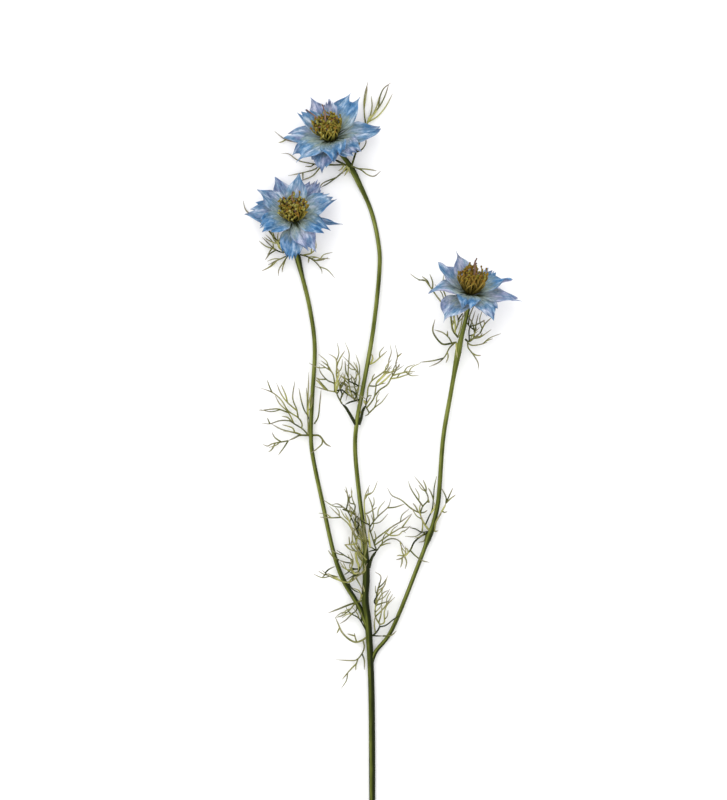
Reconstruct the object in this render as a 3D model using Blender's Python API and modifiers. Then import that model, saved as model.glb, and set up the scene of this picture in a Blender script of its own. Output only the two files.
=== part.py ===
"""A cut spray of love-in-a-mist (nigella) lying on a flat surface.

The stem runs along +Y from its cut end, the three flower heads lean up and away from the surface, and the
surface is z = 0. Routes are written in millimetres on the spray's own plane, with y = 0 at the cut end;
SPRAY_CENTRE moves the whole spray so that the origin is under the middle of its bounding box.
"""

import math

import bmesh
import bpy
from mathutils import Vector

MM = 0.001
SPRAY_CENTRE = Vector((6.2, 263.5, 0.0))  # middle of the bounding box in route coordinates, mm
GAP = 0.3  # clearance between touching pieces, mm

# Stems, mm
STEM_SIDES = 2  # bevel resolution: 8 sides
STEM_STEP = 13.0  # distance between rings along a stem
# Radius of each stem, by the distance from the cut end
MAIN_RADII = ((0, 1.9), (150, 1.9), (180, 2.15), (212, 2.1), (235, 1.6), (255, 1.4), (450, 1.4), (468, 1.9))
LEFT_RADII = ((183, 1.6), (205, 1.6), (225, 1.35), (400, 1.35), (413, 1.9))
RIGHT_RADII = ((156, 1.4), (170, 1.6), (215, 1.5), (242, 1.35), (340, 1.35), (352, 1.9))
STEM_SETBACK = 4.4 + GAP  # from the petals' plane back to the end of the stem
STRAIGHT_NECK = 5.5  # straight run of the stem under a flower

# Flower head, mm and degrees
HEAD_RADIUS = 3.2  # where the petals' claws begin
RING_LEVEL = {"lower": -2.4, "upper": -0.9}
PETAL_THICKNESS = 0.4
PETAL_ARCH = 24.0  # degrees that a petal bends over between claw and tip
PETAL_TROUGH = 0.14  # rise of the petal's edges, as a share of its half width
PETAL_OUTLINE = ((0.0, 0.1), (0.14, 0.16), (0.36, 0.72), (0.58, 1.0), (0.78, 0.8), (0.91, 0.42), (1.0, 0.06))
POD_PROFILE = (  # distance from the axis and height, from the top of the pod to the foot of its receptacle
    (0.0, 9.4), (1.2, 9.0), (2.1, 8.0), (3.1, 6.0), (3.2, 3.5),
    (2.4, 0.4), (2.7, -1.6), (2.2, -3.2), (1.2, -4.2), (0.0, -4.4),
)
POD_STEPS = 12
POD_SHOULDER = 7.8  # height at which the styles leave the pod
STYLE_COUNT = 5
STYLE_ROUTE = ((0.9, POD_SHOULDER), (1.6, 12.0), (3.4, 18.5), (6.2, 21.5))  # distance from the axis, height
STYLE_RADII = (0.45, 0.32)
STAMEN_COUNT = 12
STAMEN_COLLAR_RADIUS = 0.5
STAMEN_RADII = (0.45, 0.55)
STAMEN_ROUTE = ((4.3, 1.7), (6.4, 6.5), (8.3, 12.0), (8.9, 15.0))  # distance from the axis, height

# Leaf threads, mm
PETIOLE_RADII = (0.7, 0.5)
THREAD_RADII = (0.45, 0.28)
LOWEST_THREAD = 0.75  # lowest centreline of a thread above the surface
THREAD_SIDES = 0  # bevel resolution: 4 sides

# Each flower: centre (x, y, z), heading of its lean in the plane, lean from upright, then its petals as
# (azimuth, lift, length, width, ring), with azimuth 90 towards the far end of the spray.
FLOWERS = {
    "flower_1": (
        (-26.3, 490.6, 12.5), 111.0, 40.0,
        (
            (176, 16, 31, 14, "lower"), (148, 42, 26, 11, "upper"), (114, 32, 30, 12, "lower"),
            (84, 47, 24, 8, "upper"), (50, 24, 31, 17, "upper"), (7, -4, 32, 15, "lower"),
            (-45, 8, 24, 14, "lower"), (-77, 23, 26, 13, "upper"), (-105, 9, 29, 14, "lower"),
            (-140, 20, 31, 16, "upper"),
        ),
    ),
    "flower_2": (
        (-50.6, 439.0, 12.5), 95.0, 30.0,
        (
            (172, 8, 30, 15, "lower"), (147, 28, 29, 12, "upper"), (113, 16, 29, 12, "lower"),
            (79, 30, 28, 12, "upper"), (22, 16, 30, 14, "upper"), (-10, 1, 30, 4, "lower"),
            (-36, 18, 28, 12, "upper"), (54, 12, 27, 11, "lower"), (-67, 6, 28, 12, "upper"),
            (-95, -7, 28, 14, "lower"), (-140, 30, 27, 15, "upper"),
        ),
    ),
    "flower_3": (
        (63.9, 390.0, 21.8), 83.0, 56.0,
        (
            (-163, 12, 29, 14, "upper"), (-126, -9, 29, 14, "lower"), (-100, 12, 22, 11, "upper"),
            (-61, 3, 28, 13, "lower"), (-6, 2, 31, 13, "lower"), (10, 23, 28, 13, "upper"),
            (58, 10, 26, 13, "lower"), (98, 30, 20, 9, "upper"), (127, 49, 27, 11, "upper"),
            (152, 32, 28, 13, "lower"),
        ),
    ),
}

# Stem routes up to the neck of each flower, as (x, y, z).
MAIN_ROUTE = (
    (0, 0, 1.9), (0.2, 60, 2.0), (-0.3, 130, 2.6), (-2.2, 171, 3.5), (-4.4, 190, 3.8), (-3.7, 205, 4.0),
    (-4.6, 229, 4.4), (-8.2, 258, 4.6), (-10.9, 287, 4.6), (-9.8, 306, 4.6), (-6.0, 327, 4.4),
    (0.7, 365, 3.8), (4.9, 405, 3.0), (3.9, 424, 2.6), (-0.7, 443.5, 2.3), (-8.4, 461, 2.4),
    (-15.0, 473.5, 3.6),
)
LEFT_ROUTE = (
    (-7.3, 183.5, 3.8), (-11.2, 190.5, 3.6), (-18.6, 203, 3.4), (-25.0, 221, 3.6), (-31.9, 252, 4.0),
    (-38.4, 283, 4.2), (-39.7, 299, 4.2), (-38.8, 322, 4.0), (-37.2, 354, 3.4), (-40.5, 380, 2.6),
    (-47.0, 407, 2.0), (-50.3, 422, 3.2),
)
RIGHT_ROUTE = (
    (2.6, 156.5, 3.0), (11.0, 167, 3.2), (18.9, 184, 3.4), (31.2, 215.5, 3.8), (37.0, 231, 4.1),
    (39.8, 239, 4.2), (43.3, 256, 4.4), (46.2, 294, 4.6), (51.0, 323, 5.2), (56.4, 353, 7.6),
    (60.8, 372, 12.0),
)

# Each leaf or bract: height of its root, then its threads as (rise, points). The first thread is the stalk,
# and every later one grows from the nearest thread before it.
FRONDS = {
    "left_leaf": (4.2, (
        (2, (-42.4, 297), (-46, 302), (-51, 305), (-57, 315)),
        (4, (-55, 312), (-62, 308), (-72, 305)),
        (3, (-57, 315), (-64, 324), (-68, 332)),
        (1, (-64, 324), (-72, 328)),
        (-2, (-56, 314), (-65, 314), (-73, 313)),
        (5, (-57, 315), (-60, 323), (-62, 330)),
        (6, (-51, 305), (-52, 320), (-50, 332)),
        (-2, (-47, 302), (-57, 300), (-68, 300)),
        (-2, (-45, 300), (-55, 293), (-66, 291), (-72, 291)),
        (1, (-59, 293), (-65, 299)),
        (-1, (-57, 293), (-61, 285)),
        (5, (-44, 299), (-46, 315), (-48, 327)),
        (9, (-44, 304), (-43, 316), (-44, 327), (-45, 343)),
    )),
    "left_leaf_curl": (4.2, (
        (1, (-37.2, 297), (-34, 297), (-32, 294), (-27, 290)),
        (4, (-32, 294), (-35, 286), (-42, 283)),
        (4, (-36.5, 297), (-34, 315), (-33, 326)),
    )),
    "centre_leaf_left": (4.8, (
        (3, (-13.2, 304), (-17, 312), (-20, 318), (-24, 325)),
        (4, (-24, 325), (-25, 334), (-23, 345), (-29, 350)),
        (6, (-23, 330), (-21, 341), (-18, 351)),
        (2, (-24, 325), (-34, 328), (-37, 332), (-44, 328)),
        (-3, (-27, 328), (-31, 335), (-33, 341)),
        (2, (-25, 333), (-30, 340), (-34, 344)),
    )),
    "centre_leaf_middle": (4.8, (
        (4, (-10.6, 319), (-13.5, 321), (-16, 334), (-14, 346), (-18, 358)),
        (4, (-12.5, 321), (-17, 317)),
        (4, (-14, 332), (-12, 337), (-13, 342), (-19, 349)),
    )),
    "centre_leaf_right": (4.8, (
        (3, (-6.0, 304), (-4, 311), (-3, 317), (-2, 321)),
        (3, (-3, 317), (2, 317), (6, 321)),
        (5, (-2, 321), (1, 330), (11, 342), (13, 356)),
        (-2, (-2, 321), (5, 326), (13, 336), (16, 346), (16, 355)),
        (1, (16, 348), (20, 351)),
        (3, (13, 336), (18, 338), (28, 338)),
        (1, (10, 330), (18, 334), (24, 336)),
        (4, (4, 335), (7, 346), (9, 352)),
    )),
    "lower_leaf_right": (4.4, (
        (3, (-0.8, 212), (1, 217), (3, 221)),
        (5, (3, 221), (1, 237), (9, 249), (13, 257)),
        (2, (9, 249), (20, 252)),
        (5, (1, 240), (2, 250), (-1, 264)),
        (0, (3, 226), (10, 236), (18, 241), (26, 246)),
        (-3, (4, 222), (11, 232), (21, 236), (29, 241)),
        (4, (8, 230), (16, 232), (22, 234)),
        (-4, (3, 221), (11, 229), (16, 229), (21, 224)),
    )),
    "lower_leaf_left": (4.4, (
        (3, (-7.2, 218), (-9, 224), (-11, 232), (-16, 240), (-27, 251)),
        (3, (-20, 243), (-26, 244), (-34, 244)),
        (4, (-11, 230), (-12, 240), (-20, 250), (-26, 253)),
        (4, (-18, 249), (-16, 254), (-17, 264)),
        (5, (-13, 242), (-14, 252), (-14, 258)),
        (-3, (-11, 232), (-18, 226), (-25, 227)),
    )),
    "lower_leaf_outer": (4.4, (
        (1, (-6.6, 208), (-10, 215), (-13, 217), (-22, 223)),
        (-2, (-11, 215), (-14, 212), (-17, 208)),
        (4, (-13, 213), (-21, 211), (-30, 208), (-33, 204)),
    )),
    "joint_leaf_left": (4.4, (
        (-1, (-11.9, 185.4), (-16, 184.5), (-22, 184), (-29, 182)),
        (-2, (-15, 185), (-18, 181), (-25, 178)),
        (1, (-13, 185), (-15, 180), (-20, 174)),
    )),
    "base_leaf_left": (3.4, (
        (0, (-4.9, 165), (-8, 163), (-14, 164), (-20, 170), (-23, 177)),
        (3, (-14, 164), (-13, 168), (-17, 168)),
        (4, (-6, 164.5), (-10, 177), (-18, 184)),
        (-2, (-6, 164), (-7, 156), (-12, 150), (-23, 151)),
        (2, (-7, 156), (-5.5, 144)),
        (-1, (-12, 150), (-14, 144), (-20, 138)),
    )),
    "joint_leaf_right": (3.6, (
        (5, (1.6, 170), (5, 174), (3, 181), (4, 185)),
        (5, (4, 185), (3, 196), (3, 209)),
        (3, (4, 185), (6, 196), (7, 206)),
        (-1, (5, 187), (9, 191), (10, 197)),
        (1, (5, 186), (12, 188), (15, 192)),
        (2, (5, 174), (10, 172), (17, 178)),
    )),
    "right_leaf_upper": (4.4, (
        (3, (33.9, 234), (32, 239), (31, 245), (30, 248)),
        (2, (30, 248), (19, 255), (9, 263)),
        (-2, (25, 252), (23, 258), (18, 260)),
        (4, (31, 247), (29, 256), (24, 267)),
        (6, (32, 245), (35, 255), (33, 261), (27, 271)),
        (-2, (33, 240), (37, 250), (38, 263), (39, 271)),
    )),
    "right_leaf_side": (4.4, (
        (3, (42.2, 241), (44, 246), (48, 253)),
        (5, (48, 253), (47, 258), (47, 263)),
        (1, (48, 253), (51, 258), (52, 263)),
        (-2, (48, 253), (54, 258)),
    )),
    "right_leaf_lower": (4.2, (
        (1, (34.2, 231), (32, 232), (29, 237), (24, 237)),
        (0, (32, 232), (25, 223), (19, 217)),
        (3, (21, 219), (15, 216)),
        (-2, (21, 219), (19, 210)),
        (2, (26, 223), (28, 219)),
    )),
    "flower_3_bract_left": (8.4, (
        (-4, (53.2, 357.5), (51, 367), (49.5, 377), (43, 385), (29, 397)),
        (1, (39, 388), (35, 398)),
        (-1, (44, 384), (39, 400)),
    )),
    "flower_3_bract_low": (7.6, (
        (-3, (53.0, 353), (48, 354), (40, 361), (41, 372)),
        (1, (49, 355), (47, 363), (41, 365)),
        (-5, (51, 353), (47, 350), (36, 341)),
        (1, (45, 348), (33, 346)),
    )),
    "flower_3_bract_right": (8.2, (
        (4, (60.3, 358), (67, 362), (72, 368), (76, 372)),
        (4, (67, 362), (66, 367), (64, 374)),
        (2, (68, 363), (67, 369), (68, 374)),
        (-4, (61, 358), (65, 351), (69, 341)),
        (-3, (62, 358), (68, 357), (75, 357)),
    )),
    "flower_2_bracts": (4.4, (
        (-3, (-50.8, 414), (-60, 422), (-71, 433), (-82, 441), (-85, 449)),
        (-1, (-55, 417), (-64, 418), (-72, 426)),
        (1, (-60, 421), (-69, 411)),
        (-3, (-51.5, 414), (-58, 409), (-62, 401)),
        (1, (-54, 413), (-66, 408)),
    )),
    "flower_1_bracts": (4.6, (
        (-3, (-17.6, 471), (-27, 476), (-47, 486), (-57, 490), (-64, 494)),
        (1, (-57, 490), (-61, 487)),
        (-1, (-28, 476), (-41, 473), (-50, 478), (-58, 481)),
        (-3, (-18.5, 471.5), (-35, 472), (-41, 469), (-55, 467)),
        (0, (-36, 472), (-41, 465), (-47, 463)),
        (-3, (-18.2, 471), (-24, 464), (-33, 458)),
    )),
    "flower_1_spray": (4.6, (
        (-3, (-10.3, 472), (-4, 482), (-2, 492), (-1, 503)),
        (0, (-2, 500), (-5, 513), (-3, 527)),
        (3, (-1, 502), (3, 510), (5, 520)),
        (0, (-1, 503), (8, 515), (12, 527)),
        (2, (-8, 475), (0, 467), (6, 469)),
    )),
}


def colour_material(name, colour, roughness):
    """A plain Principled material."""
    material = bpy.data.materials.new(name)
    material.use_nodes = True
    shader = material.node_tree.nodes["Principled BSDF"]
    shader.inputs["Base Color"].default_value = (*colour, 1.0)
    shader.inputs["Roughness"].default_value = roughness
    shader.inputs["Metallic"].default_value = 0.0
    return material


def placed(point):
    """Route coordinates in millimetres to world metres."""
    return (Vector(point) - SPRAY_CENTRE) * MM


def smooth_route(points, step):
    """A Catmull-Rom curve through the points, with a point about every step."""
    points = [Vector(point) for point in points]
    ends = [2 * points[0] - points[1], *points, 2 * points[-1] - points[-2]]
    route = [points[0]]
    for a, b, c, d in zip(ends, ends[1:], ends[2:], ends[3:]):
        count = max(1, round((c - b).length / step))
        for index in range(1, count + 1):
            t = index / count
            even = 2 * b + (2 * a - 5 * b + 4 * c - d) * t * t
            odd = (c - a) * t + (3 * b - a - 3 * c + d) * t * t * t
            route.append((even + odd) / 2)
    return route


def tube_mesh(name, routes, radii, resolution):
    """One mesh of closed tubes, one along each route, with a radius for each of its points, in mm."""
    curve = bpy.data.curves.new(name, "CURVE")
    curve.dimensions = "3D"
    curve.bevel_depth = MM
    curve.bevel_resolution = resolution
    curve.use_fill_caps = True
    for route, widths in zip(routes, radii):
        spline = curve.splines.new("POLY")
        spline.points.add(len(route) - 1)
        for point, position, radius in zip(spline.points, route, widths):
            point.co = (*placed(position), 1.0)
            point.radius = radius
    guide = bpy.data.objects.new(name, curve)
    bpy.context.scene.collection.objects.link(guide)
    graph = bpy.context.evaluated_depsgraph_get()
    mesh = bpy.data.meshes.new_from_object(guide.evaluated_get(graph))
    bpy.data.objects.remove(guide)
    bpy.data.curves.remove(curve)
    shape = bmesh.new()
    shape.from_mesh(mesh)
    bmesh.ops.remove_doubles(shape, verts=shape.verts, dist=0.001 * MM)
    shape.to_mesh(mesh)
    shape.free()
    return mesh


def add_piece(name, mesh, material):
    """A named sub-part, shaded smooth."""
    mesh.name = name
    mesh.materials.append(material)
    mesh.shade_smooth()
    mesh.set_sharp_from_angle(angle=math.radians(50))
    piece = bpy.data.objects.new(name, mesh)
    PIECES.objects.link(piece)
    return piece


def join(piece, mesh):
    """Boolean union of the piece with a mesh whose own shapes may overlap."""
    helper = bpy.data.objects.new(f"{piece.name}_joined", mesh)
    helper.hide_render = True
    helper.display_type = "WIRE"
    HELPERS.objects.link(helper)
    union = piece.modifiers.new("Join", "BOOLEAN")
    union.operation = "UNION"
    union.solver = "EXACT"
    union.use_self = True
    union.object = helper


class Head:
    """The frame of a flower head: its axis points out of the flower, azimuth 0 lies towards +X."""

    def __init__(self, centre, heading, lean):
        heading, lean = math.radians(heading), math.radians(lean)
        flat = math.sin(lean)
        self.centre = Vector(centre)
        self.axis = Vector((flat * math.cos(heading), flat * math.sin(heading), math.cos(lean)))
        self.side = (Vector((1, 0, 0)) - self.axis * self.axis.x).normalized()
        self.far = self.axis.cross(self.side)

    def outward(self, azimuth):
        angle = math.radians(azimuth)
        return math.cos(angle) * self.side + math.sin(angle) * self.far

    def point(self, azimuth, radius, height, across=0.0):
        """A point by its distance from the axis, its height along it, and a step sideways."""
        sideways = self.outward(azimuth + 90) * across
        return self.centre + self.outward(azimuth) * radius + self.axis * height + sideways


def read_off(table, place):
    """The value that a table of (place, value) gives at a place, level beyond its ends."""
    if place <= table[0][0]:
        return table[0][1]
    for (low, first), (high, last) in zip(table, table[1:]):
        if place <= high:
            return first + (last - first) * (place - low) / (high - low)
    return table[-1][1]


def taper(route, ends):
    """A radius for each point of the route, from the first end's to the last's."""
    first, last = ends
    return [first + (last - first) * index / (len(route) - 1) for index in range(len(route))]


def stem(name, route, head, radii, material):
    """A stem that ends square under its flower."""
    neck = [head.centre - head.axis * (STEM_SETBACK + STRAIGHT_NECK), head.centre - head.axis * STEM_SETBACK]
    curve = smooth_route([*route, *neck], STEM_STEP)
    widths = [read_off(radii, spot.y) for spot in curve]
    return add_piece(name, tube_mesh(name, [curve], [widths], STEM_SIDES), material)


def petal(name, head, azimuth, lift, length, width, ring, material):
    """A clawed petal: a sheet that arches over along its length and is troughed across it."""
    bend = math.radians(PETAL_ARCH)
    start = math.radians(lift) + bend / 2
    shape = bmesh.new()
    bmesh.ops.create_grid(shape, x_segments=len(PETAL_OUTLINE) - 1, y_segments=2, size=0.5)
    for vertex in shape.verts:
        share, half = PETAL_OUTLINE[round((vertex.co.x + 0.5) * (len(PETAL_OUTLINE) - 1))]
        reach = length * (math.sin(start) - math.sin(start - bend * share)) / bend
        rise = length * (math.cos(start - bend * share) - math.cos(start)) / bend
        across = 2 * vertex.co.y * half * width / 2
        height = RING_LEVEL[ring] + rise + PETAL_TROUGH * abs(across)
        vertex.co = placed(head.point(azimuth, HEAD_RADIUS + GAP + reach, height, across))
    mesh = bpy.data.meshes.new(name)
    shape.to_mesh(mesh)
    shape.free()
    piece = add_piece(name, mesh, material)
    sheet = piece.modifiers.new("Thickness", "SOLIDIFY")
    sheet.thickness = PETAL_THICKNESS * MM
    sheet.offset = 0.0


def place_on_axis(piece, head, height):
    """Stands a piece that was made about its own Z axis on the head's axis."""
    piece.location = placed(head.point(0, 0, height))
    piece.rotation_euler = head.axis.to_track_quat("Z", "Y").to_euler()


def fan_of(head, count, route):
    """The same route, as distances from the axis and heights, repeated evenly round the head."""
    turns = [360 * (index + 0.25) / count for index in range(count)]
    return [[head.point(turn, radius, height) for radius, height in route] for turn in turns]


def seed_pod(name, head, material):
    """The young pod on its receptacle, with its long styles."""
    outline = [(radius * MM, 0.0, height * MM) for radius, height in POD_PROFILE]
    mesh = bpy.data.meshes.new(name)
    mesh.from_pydata(outline, [(index, index + 1) for index in range(len(outline) - 1)], [])
    piece = add_piece(name, mesh, material)
    place_on_axis(piece, head, 0.0)
    turn = piece.modifiers.new("Turn", "SCREW")
    turn.steps = turn.render_steps = POD_STEPS
    turn.use_merge_vertices = True
    turn.merge_threshold = 0.01 * MM
    styles = fan_of(head, STYLE_COUNT, STYLE_ROUTE)
    widths = [taper(route, STYLE_RADII) for route in styles]
    join(piece, tube_mesh(name + "_styles", styles, widths, THREAD_SIDES))


def stamens(name, head, material):
    """The crown of stamens, held by a collar round the pod."""
    bpy.ops.mesh.primitive_torus_add(
        major_segments=24,
        minor_segments=6,
        major_radius=STAMEN_ROUTE[0][0] * MM,
        minor_radius=STAMEN_COLLAR_RADIUS * MM,
    )
    torus = bpy.context.object
    piece = add_piece(name, torus.data.copy(), material)
    bpy.data.objects.remove(torus)
    place_on_axis(piece, head, STAMEN_ROUTE[0][1])
    filaments = fan_of(head, STAMEN_COUNT, STAMEN_ROUTE)
    widths = [taper(route, STAMEN_RADII) for route in filaments]
    join(piece, tube_mesh(name + "_filaments", filaments, widths, THREAD_SIDES))


def nearest_on(point, routes):
    """The nearest point, seen from above, on any of the routes."""
    found = []
    for route in routes:
        for a, b in zip(route, route[1:]):
            span = (b - a).xy
            share = max(0.0, min(1.0, (Vector(point) - a.xy).dot(span) / span.length_squared))
            spot = a.lerp(b, share)
            found.append(((spot.xy - Vector(point)).length, spot))
    return min(found, key=lambda pair: pair[0])[1]


def thread_routes(height, threads):
    """The centrelines of a frond's threads, each starting on one before it."""
    routes = []
    for rise, *points in threads:
        if routes:
            start = nearest_on(points[0], routes)
        else:
            start = Vector((*points[0], height))
        path = [start.xy, *(Vector(point) for point in points[1:])]
        run = [0.0]
        for a, b in zip(path, path[1:]):
            run.append(run[-1] + (b - a).length)
        heights = [max(LOWEST_THREAD, start.z + rise * length / run[-1]) for length in run]
        routes.append([Vector((*spot, level)) for spot, level in zip(path, heights)])
    return routes


def frond(name, height, threads, material):
    """A feathery leaf or bract: a stalk joined to the threads that fork from it."""
    stalk, *rest = thread_routes(height, threads)
    piece = add_piece(name, tube_mesh(name, [stalk], [taper(stalk, PETIOLE_RADII)], THREAD_SIDES), material)
    widths = [taper(route, THREAD_RADII) for route in rest]
    join(piece, tube_mesh(name + "_threads", rest, widths, THREAD_SIDES))


for leftover in list(bpy.data.objects):
    bpy.data.objects.remove(leftover)

PIECES = bpy.data.collections.new("nigella_spray")
HELPERS = bpy.data.collections.new("joined_shapes")
for collection in (PIECES, HELPERS):
    bpy.context.scene.collection.children.link(collection)

stem_green = colour_material("stem_green", (0.13, 0.17, 0.035), 0.55)
leaf_green = colour_material("leaf_green", (0.33, 0.38, 0.14), 0.6)
petal_blue = colour_material("petal_blue", (0.25, 0.42, 0.8), 0.7)
pod_green = colour_material("pod_green", (0.25, 0.29, 0.06), 0.6)
stamen_gold = colour_material("stamen_gold", (0.36, 0.25, 0.03), 0.6)

heads = {name: Head(centre, heading, lean) for name, (centre, heading, lean, _) in FLOWERS.items()}
stem("main_stem", MAIN_ROUTE, heads["flower_1"], MAIN_RADII, stem_green)
stem("left_stem", LEFT_ROUTE, heads["flower_2"], LEFT_RADII, stem_green)
stem("right_stem", RIGHT_ROUTE, heads["flower_3"], RIGHT_RADII, stem_green)

for flower_name, (_, _, _, petals) in FLOWERS.items():
    flower_head = heads[flower_name]
    for number, row in enumerate(petals, start=1):
        petal(f"{flower_name}_petal_{number:02d}", flower_head, *row, petal_blue)
    seed_pod(f"{flower_name}_seed_pod", flower_head, pod_green)
    stamens(f"{flower_name}_stamens", flower_head, stamen_gold)

for frond_name, (root_height, frond_threads) in FRONDS.items():
    frond(frond_name, root_height, frond_threads, leaf_green)
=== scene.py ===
"""The looks of a cut spray of love-in-a-mist (nigella) that lies on a pale floor, seen from above.

Routes and flower heads are the ones that the frame is built on, in millimetres on the spray's own plane, with
y = 0 at the cut end. placed() turns them into the frame's metres.
"""

import math
import random

import bpy
import numpy as np
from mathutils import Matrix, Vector


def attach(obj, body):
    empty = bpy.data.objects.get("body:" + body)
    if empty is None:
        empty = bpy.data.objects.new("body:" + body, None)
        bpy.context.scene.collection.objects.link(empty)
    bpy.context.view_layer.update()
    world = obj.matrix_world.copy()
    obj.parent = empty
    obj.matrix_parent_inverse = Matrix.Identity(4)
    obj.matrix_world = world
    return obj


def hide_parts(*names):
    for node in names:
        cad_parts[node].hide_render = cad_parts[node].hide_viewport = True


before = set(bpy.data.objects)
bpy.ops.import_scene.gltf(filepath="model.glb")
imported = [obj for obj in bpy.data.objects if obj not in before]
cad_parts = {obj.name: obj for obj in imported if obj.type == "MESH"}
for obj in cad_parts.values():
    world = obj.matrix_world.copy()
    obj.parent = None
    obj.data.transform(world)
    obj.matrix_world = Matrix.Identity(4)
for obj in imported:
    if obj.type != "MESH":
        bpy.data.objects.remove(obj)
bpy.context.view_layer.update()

MM = 0.001
SPRAY_CENTRE = Vector((6.2, 263.5, 0.0))

# Stems, mm
STEM_SIDES = 24
STEM_STEP = 1.6
STEM_RIDGES = 6
STEM_RIDGE_DEPTH = 0.04  # share of the radius
STEM_SETBACK = 3.4  # from the petals' plane back to the end of the stem
STRAIGHT_NECK = 6.6
CUT_BEVEL = 0.93  # share of the radius at the cut end

# Petals, mm and degrees
CLAW_START = 2.4  # distance of a claw's root from the axis
RING_LEVEL = {"lower": -2.4, "upper": -0.9}
PETAL_ROWS = 40
PETAL_COLUMNS = 61
PETAL_THICKNESS = 0.22
MIDRIB_POINTS = 80
PETAL_ARCH = 24.0  # how far a petal bends over between claw and tip
PETAL_TROUGH = 0.14  # rise of the petal's sides, as a share of its half width
CURL_START = 0.55  # share of the length where the tip starts to curl
TWIST_START = 0.25  # share of the length where the blade starts to twist
CLAW_END = 0.04  # share of the length where the claw starts to widen
BLADE_FULL = 0.46  # share of the length where the blade is at its widest
CLAW_WIDTH = 0.32  # share of the petal's width
TIP_START = 0.62  # share of the length where the blade narrows towards its teeth
TIP_WIDTH = 0.66  # share of the petal's width that the teeth stand on
RUFFLE = 1.35  # height of the pleats across a petal
PLEATS = (1.4, 2.4)  # fewest and most pleats
SWAY = 0.05  # how far a petal may bend to one side, as a share of its length
EDGE_WAVE = 1.0  # height of the waves along an edge
EDGE_WAVE_ANGLE = 13.0  # radians that they run through
CREASE_DEPTH = 0.35  # of the fold down the middle
CREASE_WIDTH = 0.12  # share of the half width
CREASE_FULL = 0.3  # share of the length where the crease reaches its depth
EDGE_START = (0.2, 0.45)  # shares of the length where the sides and the teeth start to count as the edge
VEINS = 11

# The end of a petal: for places across it from one side (-1) to the other (1), how far it reaches as a share
# of its length.
TIPS = {
    "pointed": ((-1, 0.55), (-0.7, 0.73), (-0.35, 0.85), (0, 1), (0.35, 0.85), (0.7, 0.73), (1, 0.55)),
    "nicked": (
        (-1, 0.5), (-0.82, 0.73), (-0.74, 0.68), (-0.45, 0.88), (-0.36, 0.82), (0, 1),
        (0.3, 0.84), (0.42, 0.89), (0.7, 0.69), (0.8, 0.73), (1, 0.5),
    ),
    "forked": (
        (-1, 0.52), (-0.74, 0.8), (-0.5, 1), (-0.1, 0.82), (0.1, 0.81), (0.5, 0.98), (0.76, 0.78), (1, 0.52),
    ),
    "forked_left": (
        (-1, 0.5), (-0.7, 0.74), (-0.45, 0.93), (-0.12, 0.8), (0.05, 0.82), (0.4, 1), (0.66, 0.8), (1, 0.52),
    ),
    "toothed_left": (
        (-1, 0.55), (-0.8, 0.8), (-0.66, 0.74), (-0.4, 0.91), (-0.25, 0.81), (0.05, 0.95),
        (0.2, 0.86), (0.5, 1), (0.74, 0.76), (1, 0.52),
    ),
    "ragged": (
        (-1, 0.6), (-0.86, 0.82), (-0.74, 0.76), (-0.55, 0.93), (-0.42, 0.84), (-0.2, 0.98), (-0.06, 0.87),
        (0.14, 1), (0.3, 0.85), (0.5, 0.95), (0.64, 0.8), (0.84, 0.86), (1, 0.6),
    ),
}
for left_name in ("forked_left", "toothed_left"):
    mirrored = tuple((-place, reach) for place, reach in reversed(TIPS[left_name]))
    TIPS[left_name.replace("left", "right")] = mirrored

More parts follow.
